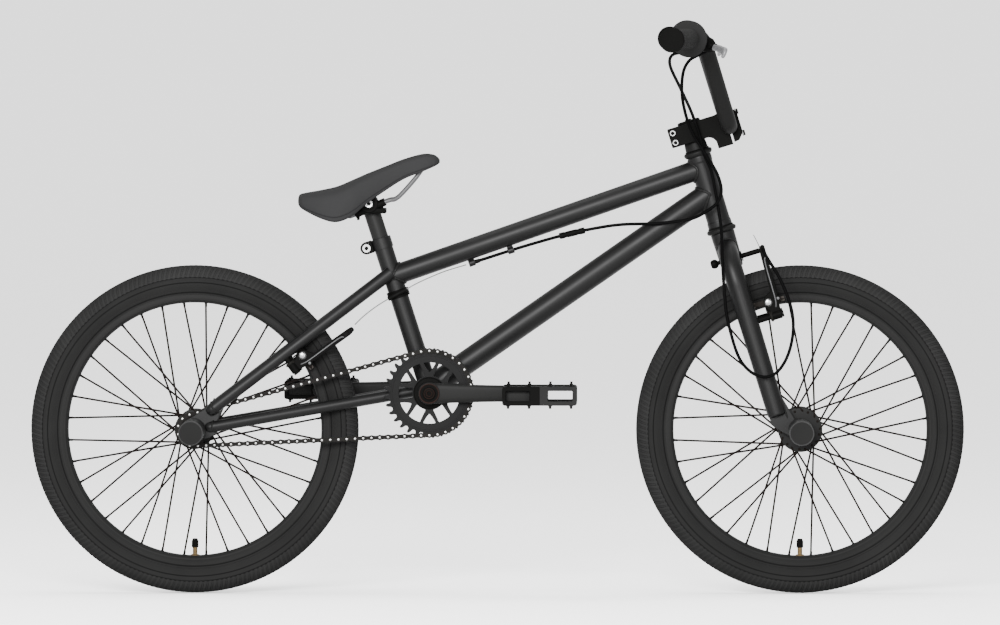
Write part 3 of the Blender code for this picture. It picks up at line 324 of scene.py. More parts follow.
def weld_bead(start, direction, radius, parent_point, parent_axis, parent_radius, size=0.0019):
    """The rippled bead where a round tube meets a round parent tube; start is outside the parent."""
    base = aimed(start, direction)
    u = parent_axis.normalized()
    path, sizes = [], []
    count = max(60, int(math.tau * radius / 0.0007))
    d = direction.normalized()
    d_flat = d - d.dot(u) * u
    for i in range(count):
        a = math.tau * i / count
        p = base @ Vector((radius * math.cos(a), radius * math.sin(a), 0))
        w = (p - parent_point) - (p - parent_point).dot(u) * u
        qa, qb, qc = d_flat.dot(d_flat), 2 * w.dot(d_flat), w.dot(w) - parent_radius**2
        inside = qb * qb - 4 * qa * qc
        if inside <= 0:
            return [], []
        path.append(p + d * ((-qb - math.sqrt(inside)) / (2 * qa)))
        sizes.append(size + BEAD_RIPPLE * abs(math.sin(a * radius / 0.0022 * 1.6)))
    return closed_sweep(path, sizes, 10)


def closed_sweep(path, sizes, sides):
    """A round section carried round a closed path."""
    count = len(path)
    middle = sum(path, Vector()) / count
    rings = []
    for i in range(count):
        heading = (path[(i + 1) % count] - path[i - 1]).normalized()
        across = path[i] - middle
        across = (across - across.dot(heading) * heading).normalized()
        over = heading.cross(across)
        rings.append([
            path[i] + sizes[i] * (
            math.cos(math.tau * j / sides) * across + math.sin(math.tau * j / sides) * over)
            for j in range(sides)
        ])
    return loft(rings, False, True)


# Materials


def tinted(colour, factor):
    return (*[min(1.0, c * factor) for c in colour], 1.0)


def finish(name, colour, roughness, metallic=0.0, grain=900.0, bump=0.02, depth=0.0002, spread=0.12,
           pattern="noise", stretch=None, specular=0.01, glow=0.0):
    """A procedural finish: uneven colour and roughness, with a fine grain in relief."""
    made = bpy.data.materials.new(name)
    made.use_nodes = True
    tree = made.node_tree
    nodes, links = tree.nodes, tree.links
    shader = nodes["Principled BSDF"]
    shader.inputs["Metallic"].default_value = metallic
    shader.inputs["Specular IOR Level"].default_value = specular
    shader.inputs["Emission Color"].default_value = (1.0, 1.0, 1.0, 1.0)
    shader.inputs["Emission Strength"].default_value = glow
    where = nodes.new("ShaderNodeTexCoord")
    place = where.outputs["Object"]
    if stretch:
        mapping = nodes.new("ShaderNodeMapping")
        mapping.inputs["Scale"].default_value = stretch
        links.new(place, mapping.inputs["Vector"])
        place = mapping.outputs["Vector"]
    cloud = nodes.new("ShaderNodeTexNoise")
    cloud.inputs["Scale"].default_value = 14.0
    cloud.inputs["Detail"].default_value = 6.0
    links.new(where.outputs["Object"], cloud.inputs["Vector"])
    ramp = nodes.new("ShaderNodeValToRGB")
    ramp.color_ramp.elements[0].position = 0.3
    ramp.color_ramp.elements[0].color = tinted(colour, 1 - spread)
    ramp.color_ramp.elements[1].position = 0.7
    ramp.color_ramp.elements[1].color = tinted(colour, 1 + spread)
    links.new(cloud.outputs["Fac"], ramp.inputs["Fac"])
    links.new(ramp.outputs["Color"], shader.inputs["Base Color"])
    if pattern == "cells":
        relief = nodes.new("ShaderNodeTexVoronoi")
        relief.feature = "DISTANCE_TO_EDGE"
        height = relief.outputs["Distance"]
    else:
        relief = nodes.new("ShaderNodeTexNoise")
        relief.inputs["Detail"].default_value = 3.0
        height = relief.outputs["Fac"]
    relief.inputs["Scale"].default_value = grain
    links.new(place, relief.inputs["Vector"])
    rough = nodes.new("ShaderNodeMapRange")
    rough.inputs["To Min"].default_value = max(0.02, roughness - 0.07)
    rough.inputs["To Max"].default_value = min(1.0, roughness + 0.07)
    links.new(cloud.outputs["Fac"], rough.inputs["Value"])
    links.new(rough.outputs["Result"], shader.inputs["Roughness"])
    bumped = nodes.new("ShaderNodeBump")
    bumped.inputs["Strength"].default_value = bump
    bumped.inputs["Distance"].default_value = depth
    links.new(height, bumped.inputs["Height"])
    links.new(bumped.outputs["Normal"], shader.inputs["Normal"])
    return made


PAINT = finish("satin_paint", (0.0024, 0.0024, 0.0024), 0.44, 0.0, 1500, 0.25, 0.00008, 0.06,
    specular=0.075)
BAR_PAINT = finish("bar_paint", (0.0034, 0.0034, 0.0033), 0.5, 0.0, 1500, 0.25, 0.00008, 0.06,
    specular=0.035)
HUB_PAINT = finish("hub_paint", (0.004, 0.004, 0.0039), 0.46, 0.0, 1200, 0.25, 0.0001, 0.08, specular=0.03)
PEG_PAINT = finish("peg_paint", (0.0055, 0.0055, 0.0054), 0.55, 0.0, 900, 0.3, 0.0001, 0.08)
EDGE_PAINT = finish("rubbed_edge", (0.014, 0.014, 0.014), 0.45, 0.0, 900, 0.3, 0.0001, 0.2)
BLACK = finish("black_coat", (0.0013, 0.0013, 0.0012), 0.48, 0.0, 1200, 0.25, 0.0001, 0.1)
BLACK_SATIN = finish("black_anodised", (0.002, 0.002, 0.0019), 0.42, 0.0, 1600, 0.15, 0.00006, 0.1)
RING_BLACK = finish("chainring_black", (0.0018, 0.0018, 0.0018), 0.34, 0.0, 1600, 0.15, 0.00006, 0.1,
    specular=0.035)
WELD = finish("weld_paint", (0.0034, 0.0034, 0.0033), 0.45, 0.0, 700, 0.5, 0.0003, 0.15, specular=0.06)
TYRE = finish("tyre_tread", (0.0084, 0.0084, 0.0083), 0.88, 0.0, 1400, 0.6, 0.0003, 0.12)
SIDEWALL = finish("tyre_sidewall", (0.0062, 0.0062, 0.0061), 0.82, 0.0, 1800, 0.4, 0.0002, 0.1)
GROOVE = finish("sidewall_line", (0.0026, 0.0026, 0.0026), 0.85, 0.0, 1800, 0.4, 0.0002, 0.1)
RIM = finish("rim_coat", (0.0062, 0.0062, 0.0061), 0.5, 0.0, 1500, 0.2, 0.0001, 0.06)
TRACK = finish("rim_track", (0.0064, 0.0064, 0.0063), 0.48, 0.0, 900, 0.3, 0.0001, 0.08)
SPOKE = finish("spoke_steel", (0.0034, 0.0025, 0.0022), 0.45, 0.0, 1500, 0.1, 0.0001, 0.15)
STEEL = finish("bright_steel", (0.16, 0.16, 0.16), 0.3, 1.0, 700, 0.2, 0.0001, 0.08)
LEVER_ALLOY = finish("lever_alloy", (0.095, 0.095, 0.098), 0.42, 0.5, 900, 0.3, 0.0001, 0.06,
    stretch=(1, 12, 1))
RAIL = finish("rail_chrome", (0.028, 0.028, 0.029), 0.34, 0.0, 600, 0.1, 0.0001, 0.08, specular=0.15)
CHAIN_DARK = finish("chain_plate", (0.0048, 0.0045, 0.0042), 0.4, 0.0, 1200, 0.3, 0.0001, 0.25)
CHAIN_BRIGHT = finish("chain_pin", (0.2, 0.197, 0.194), 0.32, 0.8, 1200, 0.2, 0.0001, 0.15)
GREASE = finish("greased_ring", (0.0085, 0.0042, 0.0033), 0.4, 0.0, 800, 0.4, 0.0002, 0.3)
BRASS = finish("valve_brass", (0.07, 0.048, 0.024), 0.4, 0.5, 900, 0.2, 0.0001, 0.12)
PLASTIC = finish("pedal_resin", (0.0024, 0.0024, 0.0023), 0.6, 0.0, 1100, 0.5, 0.0002, 0.08)
# Grey for the pedal's side panels; the same grey on the cage's front half is painted light.
PEDAL_GREY_PAINTED_LIGHT = finish("pedal_grey_painted_light", (0.0072, 0.0072, 0.0071), 0.55, 0.0, 1100, 0.4, 0.0002, 0.08)
RUBBER = finish("grip_rubber", (0.0017, 0.0017, 0.0016), 0.78, 0.0, 1300, 0.5, 0.0002, 0.1)
GRIP = finish("grip_body", (0.0082, 0.0082, 0.0081), 0.72, 0.0, 1300, 0.5, 0.0002, 0.1, specular=0.03)
FLANGE = finish("grip_flange", (0.0058, 0.0058, 0.0057), 0.7, 0.0, 1300, 0.5, 0.0002, 0.1, specular=0.03)
PAD = finish("pad_rubber", (0.007, 0.0062, 0.0056), 0.78, 0.0, 1000, 0.5, 0.0002, 0.12)
PAD_TIP = finish("pad_tip", (0.024, 0.021, 0.019), 0.7, 0.0, 900, 0.5, 0.0002, 0.15)
CABLE = finish("cable_sheath", (0.0008, 0.0008, 0.0008), 0.55, 0.0, 900, 0.1, 0.00005, 0.05)
WIRE = finish("bare_wire", (0.045, 0.045, 0.045), 0.36, 0.0, 2500, 0.5, 0.0001, 0.1, stretch=(6, 1, 1),
    specular=0.3)
VINYL = finish("saddle_cover", (0.0106, 0.0106, 0.0108), 0.75, 0.0, 900, 0.55, 0.0003, 0.05, "cells")
SEAM = finish("saddle_piping", (0.007, 0.007, 0.0072), 0.75, 0.0, 1500, 0.4, 0.0002, 0.1)
POST = finish("post_paint", (0.0062, 0.0062, 0.0061), 0.45, 0.0, 1200, 0.2, 0.0001, 0.06, specular=0.03)
FLOOR = finish("studio_floor", (0.84, 0.84, 0.84), 0.85, 0.0, 300, 0.02, 0.0001, 0.003, glow=0.32)


# Pieces


def piece(name, body, nodes, shapes, angle=32.0):
    """One shown object from (shape, material) pairs; it rides on a body and stands for the CAD nodes."""
    points, faces, marks, finishes = [], [], [], []
    for (more_points, more_faces), material in shapes:
        if not more_faces:
            continue
        if material not in finishes:
            finishes.append(material)
        start = len(points)
        points.extend(more_points)
        faces.extend([tuple(start + i for i in face) for face in more_faces])
        marks.extend([finishes.index(material)] * len(more_faces))
    mesh = bpy.data.meshes.new(name)
    mesh.from_pydata([tuple(p) for p in points], [], faces)
    for material in finishes:
        mesh.materials.append(material)
    mesh.polygons.foreach_set("material_index", marks)
    mesh.update()
    tidy = bmesh.new()
    tidy.from_mesh(mesh)
    bmesh.ops.recalc_face_normals(tidy, faces=tidy.faces)
    tidy.to_mesh(mesh)
    tidy.free()
    mesh.shade_smooth()
    mesh.set_sharp_from_angle(angle=math.radians(angle))
    obj = bpy.data.objects.new(name, mesh)
    bpy.context.scene.collection.objects.link(obj)
    if body:
        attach(obj, body)
    if nodes:
        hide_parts(*nodes)
    return obj


# Wheels

TREAD_BLOCKS = 204
WHEEL_STEPS = 220
SPOKE_COUNT = 36
SPOKE_CROSS = math.radians(42)
SIDEWALL_LINES = (0.2108, 0.2258, 0.2338)
TYRE_PROFILE = [
    (0.2088, 0.0162), (0.2102, 0.0176), (0.2125, 0.0183), (0.2137, 0.0192), (0.2146, 0.0187),
    (0.219, 0.0215),
    (0.2235, 0.0236), (0.228, 0.0245), (0.2306, 0.0246), (0.2318, 0.0252), (0.2331, 0.0246),
    (0.237, 0.0233),
    (0.2415, 0.0204), (0.2455, 0.0163), (0.2487, 0.011), (0.2504, 0.0056), (0.2509, 0.0),
]


def wheel_point(axle, radius, angle, left=0.0):
    return axle + Vector((radius * math.cos(angle), left, radius * math.sin(angle)))


def ring_of(axle, profile, steps):
    """A shape turned round the wheel's axle from a list of (radius, left)."""
    return turned(profile, axle, LEFT, steps)


def on_tyre(share):
    """(radius, half width) at a share of the way from the shoulder to the crown, with the
    slope's normal.
    """
    line = TYRE_PROFILE[10:]
    lengths = np.cumsum([0.0] + [math.dist(a, b) for a, b in zip(line, line[1:])])
    at = share * lengths[-1]
    r = np.interp(at, lengths, [p[0] for p in line])
    w = np.interp(at, lengths, [p[1] for p in line])
    step = 0.02 * lengths[-1]
    r1, r0 = (np.interp(at + d, lengths, [p[0] for p in line]) for d in (step, -step))
    w1, w0 = (np.interp(at + d, lengths, [p[1] for p in line]) for d in (step, -step))
    slope = Vector((r1 - r0, w1 - w0)).normalized()
    return r, w, Vector((-slope.y, slope.x))


def tread_block(axle, angle, side, first, last, slant, half, height):
    """One raised rib of tread, from one share of the shoulder to another."""
    rings = []
    steps = 5
    for i in range(steps):
        share = first + (last - first) * i / (steps - 1)
        r, w, out = on_tyre(share)
        lift = height if 0 < i < steps - 1 else height * 0.75
        turn = angle + slant * (i / (steps - 1) - 0.5)
        wide = half / r
        low_r, low_w = r - 0.0006 * out.x, w - 0.0006 * out.y
        top_r, top_w = r + lift * out.x, w + lift * out.y
        rings.append([
            wheel_point(axle, low_r, turn - wide, side * low_w),
            wheel_point(axle, top_r, turn - wide * 0.82, side * top_w),
            wheel_point(axle, top_r, turn + wide * 0.82, side * top_w),
            wheel_point(axle, low_r, turn + wide, side * low_w),
        ])
    return loft(rings)


def make_tyre(end, axle):
    carcass = TYRE_PROFILE + [(r, -w) for r, w in TYRE_PROFILE[-2::-1]]
    low = TYRE_PROFILE[:11]
    left = ring_of(axle, low, WHEEL_STEPS)
    right = ring_of(axle, [(r, -w) for r, w in low], WHEEL_STEPS)
    crown_line = TYRE_PROFILE[10:] + [(r, -w) for r, w in TYRE_PROFILE[10:-1][::-1]]
    crown = ring_of(axle, crown_line, WHEEL_STEPS)
    inside = ring_of(axle, [carcass[0], (0.207, 0.014), (0.207, -0.014), carcass[-1]], 120)
    blocks = []
    for i in range(TREAD_BLOCKS):
        angle = math.tau * i / TREAD_BLOCKS
        step = math.tau / TREAD_BLOCKS
        for side in (-1, 1):
            turn = angle + (0.5 * step if side > 0 else 0)
            blocks.append(tread_block(axle, turn, side, 0.02, 0.7, side * 0.024, 0.00225, 0.0011))
            blocks.append(tread_block(axle, turn + 0.5 * step, side, 0.14, 0.62, side * 0.018, 0.00095,
                0.0008))
            blocks.append(tread_block(axle, turn + 0.35 * step, side, 0.76, 0.985, -side * 0.01, 0.0026,
                0.0014))
    lines = []
    for radius in SIDEWALL_LINES:
        for side in (-1, 1):
            strip = []
            for reach in (-0.0008, 0.0, 0.0008):
                width = float(np.interp(radius + reach, [r for r, w in low], [w for r, w in low]))
                strip.append((radius + reach, side * (width + 0.0003)))
            lines.append(ring_of(axle, strip, WHEEL_STEPS))
    shapes = [(left, SIDEWALL), (right, SIDEWALL), (inside, SIDEWALL), (crown, TYRE),
        (merged(blocks), TYRE),
              (merged(lines), GROOVE)]
    piece(f"{end}_tyre_tread", f"{end}_wheel", [f"{end}_tyre"], shapes)


def make_rim(end, axle):
    side = [
        (0.1945, 0.004), (0.195, 0.0085), (0.1972, 0.0136), (0.1988, 0.0158), (0.2, 0.0162),
        (0.2012, 0.0162),
    ]
    track = [(0.2012, 0.0162), (0.2017, 0.0159), (0.2072, 0.0159), (0.2077, 0.0163), (0.2089, 0.0166),
        (0.2096, 0.0162)]
    tail = [(0.2096, 0.0162), (0.2094, 0.0152), (0.206, 0.0146)]
    base = side[::-1] + [(r, -w) for r, w in side]
    shapes = [(ring_of(axle, base, WHEEL_STEPS), RIM)]
    for hand in (-1, 1):
        shapes.append((ring_of(axle, [(r, hand * w) for r, w in track], WHEEL_STEPS), TRACK))
        shapes.append((ring_of(axle, [(r, hand * w) for r, w in tail], WHEEL_STEPS), RIM))
    nipples = []
    for index in range(SPOKE_COUNT):
        angle = math.tau * (index + 0.5) / SPOKE_COUNT
        start, end_point = spoke_ends(end, axle, index)
        along = (start - end_point).normalized()
        root = wheel_point(axle, 0.1955, angle, 0.0)
        nipples.append(turned(
            [(0, 0), (0.0026, 0), (0.0026, 0.0012), (0.0018, 0.0018), (0.0018, 0.006), (0.0014, 0.0072),
            (0, 0.0072)],
            root, along, 16))
    shapes.append((merged(nipples), BLACK_SATIN))
    piece(f"{end}_rim_detail", f"{end}_wheel", [f"{end}_rim"], shapes)


def spoke_ends(end, axle, index):
    """Where a spoke leaves its flange and where it reaches the rim."""
    flange_radius, left, right = (0.0295, 0.0372, -0.0372) if end == "front" else (0.0265, 0.038, -0.03)
    angle = math.tau * (index + 0.5) / SPOKE_COUNT
    lead = 1 if (index // 2) % 2 else -1
    y = (left if index % 2 else right) + lead * 0.0017
    start = wheel_point(axle, flange_radius, angle + lead * SPOKE_CROSS, y)
    return start, wheel_point(axle, 0.1937, angle)


def make_hub(end, axle):
    spokes, heads = [], []
    for index in range(SPOKE_COUNT):
        start, stop = spoke_ends(end, axle, index)
        lead = 1 if (index // 2) % 2 else -1
        along = (stop - start).normalized()
        bend = start + 0.0018 * along
        through = start - lead * 0.0034 * LEFT
        path = smooth_route([through, start - lead * 0.0008 * LEFT + 0.0001 * along, bend + 0.001 * along],
            0.0006)
        spokes.append(swept(path + [start + 0.02 * along, stop], 0.0015, 10))
        heads.append(turned([(0, 0.0011), (0.0012, 0.0009), (0.0019, 0), (0.0009, -0.0004)], through,
            -lead * LEFT, 12))
    if end == "front":
        body = [
            (0.0056, 0.0497), (0.0085, 0.0497), (0.0085, 0.046), (0.0112, 0.046), (0.0112, 0.0392),
            (0.015, 0.0388),
            (0.0338, 0.0386), (0.0338, 0.0356), (0.018, 0.035), (0.015, 0.03), (0.0135, 0.02),
            (0.0132, 0.0),
        ]
        profile = body + [(r, -h) for r, h in body[-2::-1]]
    else:
        profile = [
            (0.0078, 0.0547), (0.0105, 0.0547), (0.0105, 0.05), (0.0132, 0.05), (0.0132, 0.04),
            (0.018, 0.0397),
            (0.0302, 0.0396), (0.0302, 0.0366), (0.0195, 0.0362), (0.0168, 0.03), (0.016, 0.0),
            (0.0168, -0.024), (0.02, -0.0282), (0.0302, -0.0285), (0.0302, -0.0315), (0.019, -0.0318),
            (0.0166, -0.033), (0.0166, -0.054), (0.0078, -0.0547),
        ]
    hub = turned(profile, axle, LEFT, 64, 0.0009)
    shapes = [(hub, HUB_PAINT), (merged([*spokes, *heads]), SPOKE)]
    piece(f"{end}_hub_and_spokes", f"{end}_wheel", [f"{end}_hub"], shapes)


def make_valve(end, axle):
    base = axle - 0.1948 * UP
    stem = [(0.0036, -0.002), (0.0036, 0.0118), (0.004, 0.012), (0.004, 0.0125), (0, 0.0125)]
    grooves = []
    for i in range(9):
        h = 0.0105 - i * 0.00085
        grooves += [(0.0038, h), (0.0034, h - 0.0004)]
    thread = turned([(0.003, 0.011)] + grooves + [(0.0036, 0.0022)], base, UP, 24)
    seat = turned([(0.0075, -0.0005), (0.0075, 0.0003), (0.0055, 0.0018), (0.0037, 0.0022)], base, UP, 24)
    cap = turned([
        (0, 0.0262), (0.003, 0.0262), (0.004, 0.0252), (0.0044, 0.0235), (0.0047, 0.0232), (0.0049, 0.016),
        (0.0051, 0.0124), (0.0, 0.0124)], base, UP, 24)
    ridges = []
    for i in range(12):
        a = math.tau * i / 12
        foot = base + Vector((0.0048 * math.cos(a), 0.0048 * math.sin(a), 0.0134))
        ridges.append(swept([foot, foot + 0.0095 * UP], 0.0005, 6))
    shapes = [(turned(stem, base, UP, 24), BRASS), (thread, BRASS), (seat, BRASS), (cap, RUBBER),
        (merged(ridges), RUBBER)]
    piece(f"{end}_valve_detail", f"{end}_wheel", [f"{end}_valve"], shapes)


def make_axle_and_pegs(end, axle, body, radius, half, inner, bore):
    rod_shape = turned([(0, -half), (radius, -half), (radius, half), (0, half)], axle, LEFT, 32, 0.0012)
    nuts = []
    for side in (-1, 1):
        nuts.append(hex_nut(axle + side * (inner + 0.012) * LEFT, side * LEFT, 0.0125, 0.008))
    piece(f"{end}_axle_rod", body, [f"{end}_axle"],
        [(rod_shape, CHAIN_DARK), (merged(nuts), CHAIN_DARK)])
    for hand, side in (("right", -1), ("left", 1)):
        start = axle + side * inner * LEFT
        wall = [(bore, 0.0), (0.0182, 0.0), (0.0189, 0.0008), (0.019, 0.002), (0.019, 0.106)]
        rim = [(0.019, 0.106), (0.019, 0.1082), (0.0186, 0.1093), (0.0178, 0.1099), (0.0172, 0.11)]
        face = [(0.0172, 0.11), (0.017, 0.1097), (0.0, 0.1097)]
        shapes = [
            (turned(wall, start, side * LEFT, 72), PEG_PAINT),
            (turned(rim, start, side * LEFT, 72), EDGE_PAINT),
            (turned(face, start, side * LEFT, 72), PEG_PAINT),
        ]
        piece(f"{end}_peg_{hand}_detail", body, [f"{end}_peg_{hand}"], shapes)


# Frame and fork

TOP_TUBE_REAR = Vector((-0.162, 0, 0.488))
TOP_TUBE_FRONT = Vector((0.3159, 0, 0.6545))
TOP_TUBE_RADIUS = 0.0159
DOWN_TUBE_FOOT = CRANK_AXIS + 0.0062 * UP
DOWN_TUBE_FRONT = Vector((0.3281, 0, 0.6169))
DOWN_TUBE_RADIUS = 0.0185
SEAT_TUBE_RADIUS = 0.0143
HEAD_RADIUS = 0.018
SHELL_RADIUS = 0.0205
DROPOUT_LEFT = 0.0532
DROPOUT_EDGE = 0.0028
GUIDE_STOP = Vector((-0.0391, 0, 0.5085))
GUIDE_FRONT = Vector((0.0208, 0, 0.5278))
BRAKE_PIVOT = (0.18, 0.016)
BRAKE_PIVOT_Y = 0.0455


def brake_boss(axle, along, out, leg_out, side):
    foot = axle + BRAKE_PIVOT[0] * along + side * BRAKE_PIVOT_Y * LEFT
    run = BRAKE_PIVOT[1] - 0.0103
    socket = turned([(0.0066, leg_out), (0.005, leg_out + 0.006), (0.0046, run), (0.0, run)], foot, out, 32,
        0.0006)
    pin = tube(foot + leg_out * out, foot + (BRAKE_PIVOT[1] + 0.0095) * out, 0.004, sides=24)
    plate_foot = block(foot + (run - 0.0016) * out + 0.011 * along, (0.011, 0.0016, 0.009), LEFT, along,
        0.0003)
    return [(merged([socket, plate_foot]), BLACK), (pin, CHAIN_DARK)]


def rear_dropout(side):
    heel = circle((REAR_AXLE.x, REAR_AXLE.z), 0.0185, 15, math.radians(112), math.radians(200))
    outline = heel + [(-0.444, 0.2405), (-0.429, 0.248), (-0.4265, 0.256), (-0.4285, 0.27),
        (-0.4205, 0.289)]
    outline += [(-0.433, 0.3), (-0.447, 0.286)]
    outline = [tuple(p) for p in rounded(outline, 0.004, 3, True)]
    middle = side * 0.058 * LEFT
    return plate([outline], 0.006, middle, AHEAD, UP, 0.0007)


def stay_ends(kind, side):
    if kind == "seat":
        return Vector((-0.164, side * 0.016, 0.4936)), Vector((-0.435, side * 0.0635, 0.287))
    return Vector((-0.106, side * 0.0222, 0.3155)), Vector((-0.4365, side * 0.059, 0.2585))


def cable_guide(centre):
    along = (TOP_TUBE_FRONT - TOP_TUBE_REAR).normalized()
    above = along.cross(LEFT)
    tunnel = turned([(0.0031, -0.005), (0.0052, -0.005), (0.0052, 0.005), (0.0031, 0.005)], centre, along,
        28, 0.0006)
    web = block(centre + 0.0075 * above, (0.009, 0.0032, 0.01), above, along, 0.0006)
    bead = []
    for side in (-1, 1):
        path = [centre + 0.0105 * above + run * along + side * 0.0022 * LEFT for run in (-0.005, -0.002,
            0.001, 0.005)]
        bead.append(swept(path, [0.001, 0.0015, 0.0014, 0.001], 8))
    return merged([tunnel, web] + bead)


def make_frame():
    head_low = at_fork(0.333)
    head = turned([
        (0.0155, 0.0), (0.0186, 0.0), (0.0188, 0.002), (0.0188, 0.0085), (0.0181, 0.0105), (0.018, 0.0125),
        (0.018, 0.1015), (0.0181, 0.1035), (0.0188, 0.1055), (0.0188, 0.112), (0.0186, 0.114),
        (0.0155, 0.114),
    ], head_low, STEER_UP, 72, 0.0004)
    shell = turned([
        (0.0178, -0.034), (SHELL_RADIUS, -0.034), (SHELL_RADIUS, 0.034), (0.0178, 0.034)], CRANK_AXIS, LEFT,
        64, 0.0008)
    tubes = [
        head, shell,
        tube(TOP_TUBE_REAR, TOP_TUBE_FRONT, TOP_TUBE_RADIUS, sides=64),
        tube(DOWN_TUBE_FOOT, DOWN_TUBE_FRONT, DOWN_TUBE_RADIUS, sides=64),
    ]
    length = (SEAT_TUBE_TOP - CRANK_AXIS).length
    tubes.append(turned([
        (0.0133, length - 0.12), (0.0133, length), (0.0143, length), (0.0143, 0.0)], CRANK_AXIS, SEAT_UP,
        64))
    for x, z, y in ((-0.237, 0.438, 0.029), (-0.168, 0.305, 0.03)):
        tubes.append(tube(Vector((x, -y, z)), Vector((x, y, z)), 0.0065, sides=32))
    beads = []
    along_top = (TOP_TUBE_FRONT - TOP_TUBE_REAR).normalized()
    along_down = (DOWN_TUBE_FRONT - DOWN_TUBE_FOOT).normalized()
    beads.append(weld_bead(TOP_TUBE_FRONT - 0.08 * along_top, along_top, TOP_TUBE_RADIUS, at_fork(0.4),
        STEER_UP, HEAD_RADIUS))
    beads.append(weld_bead(DOWN_TUBE_FRONT - 0.08 * along_down, along_down, DOWN_TUBE_RADIUS, at_fork(0.4),
        STEER_UP, HEAD_RADIUS + 0.0006))
    beads.append(weld_bead(TOP_TUBE_REAR + 0.08 * along_top, -along_top, TOP_TUBE_RADIUS, CRANK_AXIS,
        SEAT_UP, SEAT_TUBE_RADIUS + 0.0016, 0.0017))
    beads.append(weld_bead(DOWN_TUBE_FOOT + 0.08 * along_down, -along_down, DOWN_TUBE_RADIUS, CRANK_AXIS,
        LEFT, SHELL_RADIUS))
    beads.append(weld_bead(CRANK_AXIS + 0.08 * SEAT_UP, -SEAT_UP, SEAT_TUBE_RADIUS, CRANK_AXIS, LEFT,
        SHELL_RADIUS))
    shapes = []
    for side in (-1, 1):
        for kind in ("seat", "chain"):
            start, stop = stay_ends(kind, side)
            radii = (0.01, 0.0095) if kind == "seat" else (0.00875, 0.00875)
            run = (stop - start).normalized()
            tail = radii[1]
            nose = turned([
                (tail, 0.0), (tail, 0.006), (tail * 0.97, 0.009), (tail * 0.85, 0.0135),
                (tail * 0.6, 0.0165), (0, 0.018),
            ], stop - 0.006 * run, run, 48)
            tubes.append(tube(start, stop - 0.006 * run, radii[0], radii[1], 48))
            tubes.append(nose)
            if kind == "seat":
                beads.append(weld_bead(start + 0.09 * run, -run, radii[0], CRANK_AXIS, SEAT_UP,
                    SEAT_TUBE_RADIUS, 0.0015))
            else:
                beads.append(weld_bead(start + 0.09 * run, -run, radii[0], CRANK_AXIS, LEFT, SHELL_RADIUS,
                    0.0015))
            bead_path, sizes = [], []
            place = aimed(stop - 0.001 * run, run)
            for i in range(48):
                a = math.tau * i / 48
                bead_path.append(place @ Vector((tail * math.cos(a), tail * math.sin(a),
                    0.0022 * math.cos(2 * a))))
                sizes.append(0.0011 + 0.0005 * abs(math.sin(9 * a)))
            beads.append(closed_sweep(bead_path, sizes, 8))
        tubes.append(rear_dropout(side))
        shapes += brake_boss(REAR_AXLE, STAY_DIRECTION, STAY_OUT, -0.0085, side)
    tubes += [cable_guide(GUIDE_STOP), cable_guide(GUIDE_FRONT)]
    shapes += [(merged(tubes), PAINT), (merged(beads), WELD)]
    piece("welded_frame", "frame", ["frame"], shapes)


